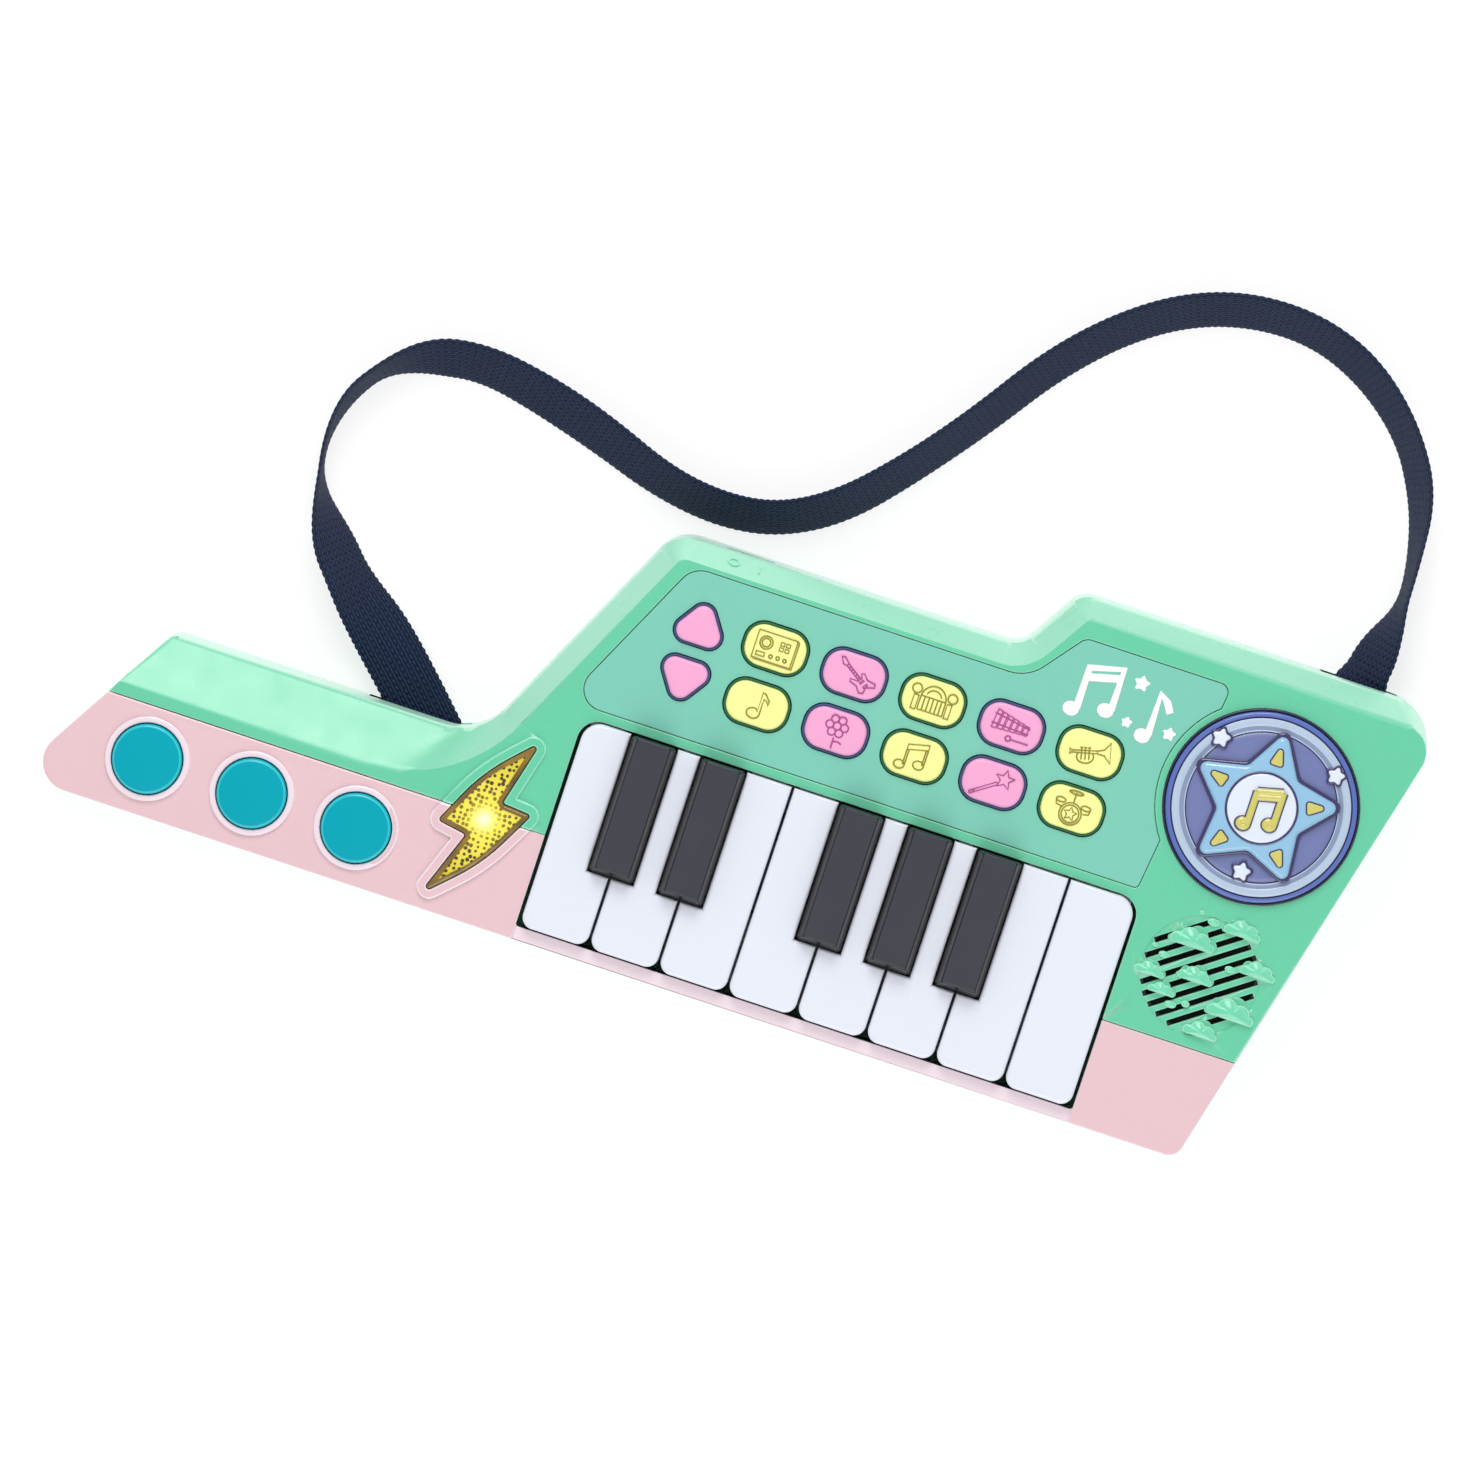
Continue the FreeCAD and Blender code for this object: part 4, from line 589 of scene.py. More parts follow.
def rectangle(half_length, half_width, radius):
    """A rounded rectangle for stacked()."""
    return polygon([(-half_length, -half_width, radius), (half_length, -half_width, radius),
                    (half_length, half_width, radius), (-half_length, half_width, radius)], 8)


def star_corners(outer, inner):
    """The tips and notches of a five-pointed star."""
    corners = []
    for index in range(10):
        reach, angle = (inner if index % 2 else outer), math.radians(90 + 36 * index)
        corners.append((reach * math.cos(angle), reach * math.sin(angle)))
    return corners


def star(outer, inner, soft_tip, soft_notch):
    """A five-pointed star for stacked()."""
    softness = (soft_tip, soft_notch) * 5
    return polygon([(*corner, soft) for corner, soft in zip(star_corners(outer, inner), softness)], 5)


def round_over(growth, top, radius, steps=5):
    """Profile steps that round the edge of a flat top."""
    profile = []
    for step in range(steps + 1):
        angle = math.pi / 2 * step / steps
        profile.append((growth - radius * (1 - math.cos(angle)), top - radius * (1 - math.sin(angle))))
    return profile


def pillow(growth, foot, top, radius, steps=5):
    """A profile that goes straight up and over a rounded edge."""
    return [(growth, foot)] + round_over(growth, top, radius, steps)


def stacked(name, shape, profile, centre, materials, body, slots=(0,), crown=None, sharp=40):
    """A piece made of stacked outlines; a profile step is the growth of the shape and its height.

    The slots number each step's material, and the last one serves the rest. With a crown, the top
    rises over shrunken outlines to the middle; else a flat face closes it.
    """
    bm = bmesh.new()
    middle = Vector(centre)

    def loop_of(points, height):
        return [bm.verts.new(((p.x + middle.x) * MM, (p.y + middle.y) * MM, height * MM)) for p in points]

    loops = [loop_of(shape(growth), height) for growth, height in profile]
    slots = [*slots] + [slots[-1]] * (len(loops) - len(slots))
    bm.faces.new(loops[0][::-1]).material_index = slots[0]
    if crown is None:
        bm.faces.new(loops[-1]).material_index = slots[-1]
    else:
        growth, top = profile[-1]
        rim = shape(growth)
        for share in (0.93, 0.84, 0.72, 0.58, 0.42, 0.22):
            loops.append(loop_of([p * share for p in rim], top + crown * (1 - share ** 2)))
            slots.append(slots[-1])
        tip = bm.verts.new((middle.x * MM, middle.y * MM, (top + crown) * MM))
        last = loops[-1]
        for turn in range(len(last)):
            bm.faces.new((last[turn], last[(turn + 1) % len(last)], tip)).material_index = slots[-1]
    join_loops(bm, loops, slots[1:])
    return finish_mesh(name, bm, materials, body, sharp)


def lines(name, strokes, thickness, place, material, body, flatness=1.0, turn=Matrix()):
    """Fine raised or printed lines; a stroke is a list of points and whether it closes."""
    data = bpy.data.curves.new(name, "CURVE")
    data.dimensions = "3D"
    data.bevel_depth = thickness * MM
    data.bevel_resolution = 2
    data.use_fill_caps = True
    for points, closed in strokes:
        spline = data.splines.new("POLY")
        spline.points.add(len(points) - 1)
        for control, point in zip(spline.points, points):
            control.co = (point[0] * MM, point[1] * MM, 0.0, 1.0)
        spline.use_cyclic_u = closed
    mesh = curve_mesh(data)
    for move in (Matrix.Diagonal((1, 1, flatness, 1)), turn, Matrix.Translation(Vector(place) * MM)):
        mesh.transform(move)
    mesh.materials.clear()
    add_piece(name, mesh, [material], body)


def middle_of(node):
    """The middle of a CAD node seen from above, in millimetres."""
    low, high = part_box(node)
    return ((low.x + high.x) / 2 / MM, (low.y + high.y) / 2 / MM)


def half_size(node, flange):
    """Half the length and width of a button's face, in millimetres, without its flange."""
    low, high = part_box(node)
    return (high.x - low.x) / 2 / MM - flange, (high.y - low.y) / 2 / MM - flange


def top_of(node):
    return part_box(node)[1].z / MM


# ---------- materials

# In this list the edge setting pales edges, partly worn and partly a painted highlight, and the slant setting
# is a painted sheen.
MINT = moulded("mint_plastic", (97, 201, 161), 0.30, coat=0.4, gloss=0.28, wear_and_highlight=0.8, scatter=0.05, painted_sheen=0.75)
# Paler copies of the mint and pink plastics: a painted highlight on collars, rim edges and the strip.
MINT_PAINTED_HIGHLIGHT = moulded("mint_painted_highlight", (124, 222, 186), 0.3, coat=0.5, gloss=0.2, painted_sheen=0.7)
PINK_PAINTED_HIGHLIGHT = moulded("pink_painted_highlight", (238, 218, 227), 0.3, coat=0.5, gloss=0.2, painted_sheen=0.7)
# A lighter copy of the mint plastic for the raised clouds: painted light.
CLOUD_MINT_PAINTED_LIGHT = moulded("cloud_mint_painted_light", (108, 212, 172), 0.28, coat=0.4, gloss=0.2, scatter=0.05, painted_sheen=0.75)
PINK = moulded("pink_plastic", (226, 190, 197), 0.34, coat=0.4, gloss=0.3, wear_and_highlight=0.9, scatter=0.05, painted_sheen=0.8)
PANEL = moulded("panel_plastic", (119, 198, 177), 0.42)
WHITE = moulded("white_key_plastic", (225, 229, 240), 0.2, mottle=0.008, grain=0.06, coat=0.5, wear_and_highlight=0.2)
BLACK = moulded("black_key_plastic", (46, 49, 59), 0.34, mottle=0.05, grain=0.3, coat=0.15, wear_and_highlight=0.05)
# A darker copy of the black key plastic for the keys' sides: painted shade.
BLACK_SIDE_SHADE = moulded("black_key_painted_shade", (8, 9, 13), 0.3, mottle=0.05, grain=0.2, shine=0.25)
TEAL = moulded("teal_plastic", (0, 162, 180), 0.3, mottle=0.02, grain=0.08, shine=0.12)
# A lighter teal for a ring in the buttons' rounded edge: a painted highlight.
TEAL_PAINTED_HIGHLIGHT = moulded("teal_painted_highlight", (40, 196, 206), 0.3, mottle=0.02, grain=0.08)
YELLOW = moulded("yellow_button", (248, 248, 154), 0.38, scatter=0.1)
ROSE = moulded("rose_button", (240, 166, 208), 0.38, scatter=0.1)
GREEN_RIM = moulded("green_rim", (24, 96, 54), 0.45)
NAVY_RIM = moulded("navy_rim", (58, 70, 116), 0.45)
OLIVE_LINE = moulded("olive_line", (146, 134, 40), 0.45)
PLUM_LINE = moulded("plum_line", (170, 70, 138), 0.45)
PRINT = moulded("white_print", (252, 253, 253), 0.5, mottle=0.01)


# ---------- casing

NECK_END, STRIP_REAR = -100.0, -70.0
STRIP_HEIGHT = 34.4
GRILLE_MIDDLE = Vector(middle_of("speaker_cone")) * MM
GRILLE_REACH = 28.0


def anywhere(edge):
    return True


def near_face(edge):
    return lowest(edge) > 30 and not by_grille(edge.verts[0].co)


def above_face(edge):
    """Along the tops of the raised collars and rims."""
    return lowest(edge) > FACE + 0.3 and highest(edge) - lowest(edge) < 0.02


def near_back(edge):
    return highest(edge) < 16


def by_grille(point):
    return (point.xy - GRILLE_MIDDLE).length < GRILLE_REACH * MM


def lower_clouds(bm):
    """Levels the plain cloud pads with the face, so that the rounded clouds cover them."""
    for vertex in bm.verts:
        if vertex.co.z > (FACE + 0.1) * MM and by_grille(vertex.co):
            vertex.co.z = (FACE + 0.01) * MM


def paint_rim_highlights(bm):
    """Gives the collars, the edges of other raised rims and the strip their second, paler material: painted
    light on them.
    """
    for face in bm.faces:
        x, y, z = face.calc_center_median() / MM
        raised = z > FACE + 0.06
        collar = raised and x < NECK_END
        rim_edge = raised and face.normal.z < 0.985
        strip = abs(z - STRIP_HEIGHT) < 0.1 and y < STRIP_REAR
        face.material_index = 1 if collar or rim_edge or strip else 0


def build_casing():
    """The green and pink upper casing, the green back, the panel and the battery door."""
    upper = [
        (1.6, 5, is_bevel_crease, 18.0),
        (0.8, 4, is_outer_rim, 60.0),
        (0.5, 3, above_face, 40.0),
        (0.24, 2, near_face, 40.0),
    ]
    refined("front_shell", [MINT, MINT_PAINTED_HIGHLIGHT], upper, adjust=lower_clouds, paint=paint_rim_highlights)
    refined("lower_front_cover", [PINK, PINK_PAINTED_HIGHLIGHT], upper, paint=paint_rim_highlights)
    refined("control_panel", [PANEL], [(0.22, 2, near_face, 40.0)])
    refined("rear_shell", [MINT], [(0.4, 3, near_back, 30.0)])
    refined("battery_door", [MINT], [(0.25, 2, anywhere, 40.0)])


# ---------- keys


def shade_key_sides(bm):
    """Gives all but the level top of a black key its second, darker material: painted shade on the sides."""
    for face in bm.faces:
        face.material_index = 0 if face.normal.z > 0.95 else 1


def build_keys():
    """Polished white keys and satin black ones, with soft upper edges; the black keys' sides are painted
    darker as shade.
    """
    for node in frame["nodes"]:
        if node.startswith("white_key"):
            top = top_of(node)
            refined(node, [WHITE],
                    [(1.2, 4, lambda edge, top=top: lowest(edge) > top - 0.05, 40.0),
                     (0.25, 2, lambda edge: lowest(edge) > 27.5, 60.0)])
        elif node.startswith("black_key"):
            top = top_of(node)
            refined(node, [BLACK, BLACK_SIDE_SHADE],
                    [(1.5, 4, lambda edge: highest(edge) > lowest(edge) + 1, 40.0),
                     (0.4, 3, lambda edge, top=top: lowest(edge) > top - 0.05, 30.0)], paint=shade_key_sides)


# ---------- buttons

MODE_FLANGE, VOLUME_FLANGE, NECK_FLANGE, MEDALLION_FLANGE = 1.8, 0.7, 2.0, 0.9
FLANGE_BOTTOM, FLANGE_TOP = 31.2, 32.8
RING_TOP, CAP_INSET = 36.5, -0.85
MODE_CORNER = 6.6
VOLUME_HALF_WIDTH, VOLUME_HALF_HEIGHT, VOLUME_CORNER = 12.0, 8.9, 4.4
NECK_BUTTON_RADIUS = 11.4


def foot_of(flange):
    """The first profile steps of a button: the flange that keeps it in the casing."""
    return [(flange, FLANGE_BOTTOM), (flange, FLANGE_TOP), (0.0, FLANGE_TOP)]


def capped_button(node, shape, middle, flange, cap_top, cap_material, ring_material):
    """A button with a dark rim at the face and a raised, slightly domed cap."""
    profile = foot_of(flange) + [(0.0, RING_TOP - 0.25), (-0.08, RING_TOP - 0.07), (-0.25, RING_TOP),
                                 (CAP_INSET + 0.1, RING_TOP), (CAP_INSET, RING_TOP - 0.05)]
    slots = [1] * len(profile) + [0]
    profile += round_over(CAP_INSET, cap_top, 1.1, 6)
    piece = stacked(f"{node}_cap", shape, profile, middle, [cap_material, ring_material],
                    body_of(node), slots, crown=0.25)
    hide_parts(node)


def build_mode_buttons():
    """Ten rounded rectangular buttons, yellow and rose by turns, each with its own little picture."""
    for number in range(1, 11):
        node = f"mode_button_{number}"
        yellow = (number - 1) % 5 % 2 == 0
        cap, ring, ink = (YELLOW, GREEN_RIM, OLIVE_LINE) if yellow else (ROSE, NAVY_RIM, PLUM_LINE)
        middle, top = middle_of(node), top_of(node)
        shape = rectangle(*half_size(node, MODE_FLANGE), MODE_CORNER)
        capped_button(node, shape, middle, MODE_FLANGE, top - 0.25, cap, ring)
        picture, size = PICTURES[number]
        lines(f"{node}_picture", turned(picture(), 0, size=size), 0.25, (*middle, top), ink, node, 0.7)


def build_volume_buttons():
    """Two rounded triangles, one pointing up and one down."""
    for node, up in (("volume_up_button", 1), ("volume_down_button", -1)):
        peak = up * VOLUME_HALF_HEIGHT
        corners = [(x, y, VOLUME_CORNER)
                   for x, y in ((-VOLUME_HALF_WIDTH, -peak), (VOLUME_HALF_WIDTH, -peak), (0.0, peak))]
        shape = polygon(corners if up == 1 else corners[::-1], 12)
        low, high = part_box(node)
        base_line = (low if up == 1 else high).y / MM + up * VOLUME_FLANGE
        middle = (middle_of(node)[0], base_line + peak)
        capped_button(node, shape, middle, VOLUME_FLANGE, top_of(node) - 0.25, ROSE, NAVY_RIM)


def build_neck_buttons():
    """Three glossy round buttons, with a painted highlight ring in their rounded edge."""
    for number in range(1, 4):
        node = f"neck_button_{number}"
        profile = foot_of(NECK_FLANGE) + round_over(0.0, top_of(node) - 0.5, 1.6, 7)
        # Two steps in the rounded edge take the lighter teal: a painted highlight ring.
        slots = [0] * (len(profile) - 4) + [1, 1, 0, 0, 0]
        piece = stacked(f"{node}_cap", disc(NECK_BUTTON_RADIUS), profile, middle_of(node), [TEAL, TEAL_PAINTED_HIGHLIGHT],
                        node, slots, crown=0.5)
        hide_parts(node)


# ---------- pictures on the buttons


def arc(x, y, radius, start, end, points=14, squash=1.0):
    """Points along part of a round line, angles in degrees."""
    steps = [math.radians(start + (end - start) * step / (points - 1)) for step in range(points)]
    return [(x + radius * math.cos(angle), y + radius * squash * math.sin(angle)) for angle in steps]


def ring(x, y, radius, squash=1.0, points=20):
    """A closed round line."""
    return (arc(x, y, radius, 0, 360, points + 1, squash)[:-1], True)


def open_line(*numbers):
    """A stroke through points given as x, y, x, y and so on."""
    return (list(zip(numbers[::2], numbers[1::2])), False)


def closed_line(*numbers):
    return (open_line(*numbers)[0], True)


def frame_line(left, front, right, rear):
    """A closed rectangle."""
    return closed_line(left, front, right, front, right, rear, left, rear)


def turned_point(x, y, degrees):
    """A point turned about the origin."""
    cosine, sine = math.cos(math.radians(degrees)), math.sin(math.radians(degrees))
    return x * cosine - y * sine, x * sine + y * cosine


def turned(strokes, degrees, x=0.0, y=0.0, size=1.0):
    """Strokes scaled, turned about their origin and moved."""
    result = []
    for points, closed in strokes:
        places = [turned_point(px * size, py * size, degrees) for px, py in points]
        result.append(([(px + x, py + y) for px, py in places], closed))
    return result


def star_line(x, y, outer, inner):
    return ([(x + px, y + py) for px, py in star_corners(outer, inner)], True)


def beat_box():
    strokes = [frame_line(-5.4, -3.7, 5, 3.7), open_line(5, 3.7, 5.5, 3.2, 5.5, -3.9, -4.9, -3.9)]
    strokes += [ring(-2.7, 0.9, 1.7), ring(-2.7, 0.9, 1.1), frame_line(-4.5, -2.8, -2.3, -1.8)]
    for left in (1, 2.5):
        strokes += [frame_line(left, front, left + 1, front + 0.9) for front in (-0.1, 1.3)]
    return strokes + [ring(-0.6, -2.2, 0.45), ring(1.3, -2.1, 0.45), ring(3.2, -2.2, 0.45)]


def guitar():
    body = closed_line(-1, 1.6, -2.6, 4.2, -3.4, 3.4, -2.6, 0.4, -3.6, -2.2, -2.4, -3.4, -0.2, -2.4,
                       2.6, -4.6, 3.6, -3.6, 2.2, -0.6, 2.9, 2.2, 2, 2.8, 1, 1.4)
    neck = [open_line(-0.5, 1.2, -0.5, 9), open_line(0.5, 1.2, 0.5, 9)]
    head = closed_line(-0.6, 9, -1.2, 10.4, 0.2, 13, 1.1, 12, 0.6, 9)
    strokes = [body, *neck, head, frame_line(-0.9, -2.2, 0.9, -1.5), frame_line(-0.9, 0, 0.9, 0.6)]
    strokes += [open_line(-0.5, fret, 0.5, fret) for fret in (2.4, 3.7, 5, 6.3, 7.6)]
    return turned(strokes, 56, 2.6, -1.2, 0.66)


def little_keyboard():
    strokes = [(arc(0, 0.2, 3.2, 0, 180, 16, 1.1) + [(-3.2, -3), (3.2, -3)], True)]
    strokes += [ring(-4.6, 2, 1.2), ring(4.6, 2, 1.2)]
    strokes += [frame_line(-4.9, -3.2, -3.7, 0.4), frame_line(3.7, -3.2, 4.9, 0.4)]
    strokes += [open_line(x, -3, x, 0.6) for x in (-2.1, -1, 0.1, 1.2, 2.2)]
    return strokes + [open_line(-3, 0.6, 3, 0.6), (arc(0, 0.6, 2, 20, 160, 9), False)]


def xylophone():
    strokes = []
    for bar in range(6):
        x, half = -4.6 + 1.6 * bar, 2.5 - 0.25 * bar
        strokes.append(closed_line(x, -half, x + 1.2, -half * 0.94, x + 1.2, half * 0.94, x, half))
    strokes += [open_line(-5, 1.3, 5, 0.7), open_line(-5, -1.3, 5, -0.7)]
    return turned(strokes + [ring(0.6, -3.6, 0.7), open_line(1.3, -3.6, 6, -3.1)], -6, -0.2, 0.6)


def trumpet():
    bell = open_line(1.8, 0.5, 3.6, 0.9, 5.2, 2.8, 5.2, -2.6, 3.6, -0.6, 1.8, -0.2)
    tube = closed_line(-5.4, 0.9, -5, 0.4, 1.8, 0.5, 1.8, -0.2, -5, -0.2, -5.4, -0.7)
    loop = (arc(-1.3, -1.2, 2.2, 150, 390, 18, 0.75), False)
    valves = [open_line(x, -1.9, x, 1.2) for x in (-2.3, -1.3, -0.3)]
    caps = [open_line(x - 0.4, 1.2, x + 0.4, 1.2) for x in (-2.3, -1.3, -0.3)]
    return turned([bell, tube, loop, *valves, *caps], 14, 0, 0.2)


def eighth_note():
    flag = open_line(0.6, -1.6, 0.6, 3.6, 1.4, 3.4, 2.8, 1.8, 2.7, 0.6, 2.2, 1.6, 1.3, 2, 1.3, -1.8)[0]
    return [(flag + arc(-0.4, -2.2, 1.7, 10, -290, 16, 0.8), True)]


def flower():
    petals = [math.tau * petal / 6 for petal in range(6)]
    strokes = [ring(0, 1.4, 1)]
    strokes += [ring(2 * math.cos(angle), 1.4 + 2 * math.sin(angle), 1) for angle in petals]
    return strokes + [open_line(0, -1.7, 0.1, -4.6), (arc(1.2, -3.2, 1.2, 180, 20, 8, 0.6), False)]


def beamed_notes():
    beam = closed_line(-2.2, 2.6, 2.8, 3.8, 2.8, 2.5, -2.2, 1.3)
    stems = [open_line(-2.2, 1.3, -2.2, -2.4), open_line(-1.7, 1.4, -1.7, -2.4),
             open_line(2.3, 2.4, 2.3, -1.4), open_line(2.8, 2.5, 2.8, -1.4)]
    return [beam, *stems, ring(-3, -2.6, 1.3, 0.8), ring(1.5, -1.6, 1.3, 0.8)]


def wand():
    stick = closed_line(-5.2, -3.6, -4.8, -4.1, 1.2, 0, 0.8, 0.6)
    return [stick, star_line(2.6, 1.7, 2.5, 1.15), open_line(-4.2, -2.9, -3.9, -3.4)]


def drum_kit():
    return [ring(0, -1.2, 2.8), ring(0, -1.2, 2.2), star_line(0, -1.2, 1.7, 0.85),
            ring(-3.2, 1.6, 1.2, 0.5), open_line(-4.4, 1.6, -4.1, 0.3, -2.6, 0),
            ring(3.4, 1.2, 1.2, 0.5), open_line(4.6, 1.2, 4.4, -0.1, 3, -0.4),
            open_line(0, 1.6, 0, 4.2), ring(0, 4.3, 1.8, 0.25)]


# The drawing on each button and how much it is enlarged.
PICTURES = {
    1: (beat_box, 1.25), 2: (guitar, 1.25), 3: (little_keyboard, 1.3), 4: (xylophone, 1.25),
    5: (trumpet, 1.25), 6: (eighth_note, 1.25), 7: (flower, 1.25), 8: (beamed_notes, 1.35),
    9: (wand, 1.3), 10: (drum_kit, 1.3),
}


# ---------- medallion


def build_medallion():
    """The big round button: stepped blue rings, and a raised star that carries a music note."""
    node = "medallion_button"
    middle = middle_of(node)
    radius = half_size(node, MEDALLION_FLANGE)[0]
    rim = 38.4
    rim_blue = moulded("rim_blue", (84, 104, 180), 0.28, coat=0.3)
    groove = moulded("groove_navy", (30, 34, 84), 0.4)
    pale = moulded("pale_ring", (178, 196, 218), 0.25, coat=0.4)
    slate = moulded("slate_ring", (130, 146, 178), 0.3, coat=0.3)
    # The lavender disc's edges pale, partly worn and partly a painted highlight.
    lavender = moulded("lavender_disc", (108, 118, 170), 0.36, coat=0.3, wear_and_highlight=0.3)
    profile = foot_of(MEDALLION_FLANGE) + round_over(0.0, rim, 0.9)
    slots = [0] * len(profile)
    for growth, height, material in (
        (-1.5, rim, 0), (-1.6, rim - 0.35, 1), (-1.9, rim - 0.35, 1), (-2.0, rim, 1), (-2.15, rim + 0.12, 2),
        (-4.3, rim + 0.12, 2), (-4.5, rim - 0.05, 2), (-4.6, rim - 0.1, 3), (-5.9, rim - 0.1, 3),
        (-6.0, rim - 0.02, 2), (-6.25, rim - 0.02, 2), (-6.35, rim - 0.5, 1), (-6.6, rim - 0.5, 1),
        (-6.7, rim - 0.4, 4),
    ):
        profile.append((growth, height))
        slots.append(material)
    rings = stacked("medallion_rings", disc(radius, 120), profile, middle,
                    [rim_blue, groove, pale, slate, lavender], node, slots,
                    crown=0.8, sharp=50)
    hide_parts(node)
    build_emblem(node, middle)
    seat = moulded("seat_ring_navy", (20, 24, 58), 0.3, coat=0.4)
    refined("medallion_ring", [seat], [(0.25, 3, near_face, 40.0)])


SMALL_STARS = [("left_star", -19.4, 17.4, 3.7), ("right_star", 19.6, 17.2, 3.5),
               ("lower_star", 0.4, -21.6, 3.7)]


def build_emblem(node, middle):
    """The painted relief: a big star with a note in a round window, and small stars round it."""
    x, y = middle
    indigo = moulded("indigo_paint", (46, 36, 94), 0.2, coat=0.7)
    # The sky paint's edges pale, partly worn and partly a painted highlight.
    sky = moulded("sky_paint", (142, 190, 222), 0.24, coat=0.6, wear_and_highlight=0.4)
    snow = moulded("snow_paint", (220, 229, 242), 0.26, coat=0.5)
    straw = moulded("straw_paint", (206, 198, 100), 0.24, coat=0.6)

    def painted(name, shape, foot, top, radius, paint, place=middle, growth=0.0, steps=5, crown=None):
        profile = pillow(growth, foot, top, radius, steps)
        stacked(name, shape, profile, place, [paint], node, crown=crown)

    painted("star_border", star(28.0, 15.6, 2.6, 3.2), 37.6, 39.8, 0.8, indigo)
    painted("star_relief", star(26.2, 14.4, 2.2, 2.8), 39.0, 41.2, 1.7, sky, steps=8)
    for turn in range(5):
        angle = math.radians(90 + 72 * turn)
        place = (x + 17.6 * math.cos(angle), y + 17.6 * math.sin(angle))
        arrow = [(-2.2, -3.0, 0.7), (2.2, -3.0, 0.7), (0.0, 4.2, 0.8)]
        tip = polygon([(*turned_point(px, py, 72 * turn), soft) for px, py, soft in arrow], 5)
        painted(f"star_tip_border_{turn + 1}", tip, 41.0, 41.35, 0.12, indigo, place, growth=0.45, steps=2)
        painted(f"star_tip_{turn + 1}", tip, 41.2, 41.75, 0.4, straw, place, steps=4)
    painted("window_border", disc(11.9), 40.8, 41.6, 0.3, indigo, steps=3)
    painted("window", disc(11.2), 41.2, 42.0, 0.6, snow, steps=4, crown=0.3)
    for name, across, up, size in SMALL_STARS:
        place = (x + across, y + up)
        border = star(size + 0.9, size * 0.5 + 0.9, 0.9, 0.9)
        painted(f"{name}_border", border, 37.9, 39.0, 0.3, indigo, place, steps=3)
        painted(name, star(size, size * 0.55, 0.8, 0.8), 38.8, 39.8, 0.8, snow, place)
    note = [open_line(-3.0, 6.2, 5.2, 8.2), open_line(-3.0, 4.4, 5.2, 6.4),
            open_line(-3.0, 6.2, -3.0, -4.6), open_line(5.2, 8.2, 5.2, -2.6),
            ring(-4.3, -5.0, 1.3, 0.78), ring(3.9, -3.0, 1.3, 0.78)]
    lines("note_border", note, 1.75, (x, y - 1.4, 42.0), indigo, node, 0.5)
    lines("note_relief", note, 1.2, (x, y - 1.4, 42.5), straw, node, 0.65)


# ---------- bolt light


def amber_edge():
    """The thick tinted edge of the bolt lens: dark honey, glossy."""
    nodes = Nodes("amber_edge")
    depth = nodes.uneven(nodes.noise(120.0))
    return nodes.surface({
        "Base Color": nodes.mix(depth, linear(82, 58, 6), linear(146, 112, 16)), "Coat Weight": 1.0,
        "Roughness": nodes.uneven(nodes.noise(300.0), 0.08, 0.16), "Coat Roughness": 0.03,
        "Normal": nodes.bump(nodes.noise(160.0, 2.0), 0.05 * MM, 0.4)})


def amber_glow(centre):
    """The lens over its lamp: a foam of dark dots on yellow, bright in the middle, brown at the tips; the
    yellow and the dots are painted lighter towards the lamp, painted light beyond its glow.
    """
    nodes = Nodes("amber_glow")
    cells = nodes.add("TexVoronoi", {"Vector": nodes.place, "Scale": 560.0, "Randomness": 0.5},
                      voronoi_dimensions="2D")
    size = nodes.span(nodes.noise(420.0, 1.0), 0.35, 0.65, 0.30, 0.46)
    inside = nodes.maths("SUBTRACT", size, cells["Distance"])
    dots = nodes.span(inside, 0.0, 0.11)
    flat = nodes.vector("MULTIPLY", nodes.place, (1.0, 1.0, 0.0))
    from_lamp = nodes.vector("DISTANCE", flat, (centre[0] * MM, centre[1] * MM, 0.0))

    def between(near, far, start=0.0, end=1.0):
        return nodes.span(from_lamp, near * MM, far * MM, start, end)

    # Painted light: the yellow and the dots lighten towards the lamp; the brown at the tips is the lens's own
    # tint.
    glow_painted_ground = nodes.mix(between(3, 20), linear(250, 238, 84), linear(224, 204, 40))
    glow_painted_ground = nodes.mix(between(24.5, 27), glow_painted_ground, linear(110, 76, 10))
    dark = nodes.mix(between(3, 12), linear(170, 150, 28), linear(64, 52, 4))
    shown = nodes.times(nodes.times(dots, between(2.5, 6)), between(24, 25.5, 1.0, 0.0))
    lamp = nodes.maths("POWER", between(0.0, 5.6, 1.0, 0.0), 2.0)
    return nodes.surface({
        "Base Color": nodes.mix(shown, glow_painted_ground, dark), "Normal": nodes.bump(dots, 0.15 * MM, -0.6),
        "Emission Color": linear(255, 254, 226), "Emission Strength": nodes.times(lamp, 1.1),
        "Roughness": nodes.uneven(nodes.noise(300.0), 0.10, 0.2), "Coat Weight": 0.8, "Coat Roughness": 0.04})


# The bolt's outline about its middle: tips, notches and the bowed outer edges.
BOLT = [
    (9.6, 29.2, 0.8), (-4.9, 14.2, 62.0), (-13.9, -4.7, 0.8), (-3.8, -6.4, 1.0),
    (-12.1, -29.2, 0.8), (3.7, -13.7, 62.0), (13.9, 5.8, 0.8), (3.8, 6.6, 1.0),
]


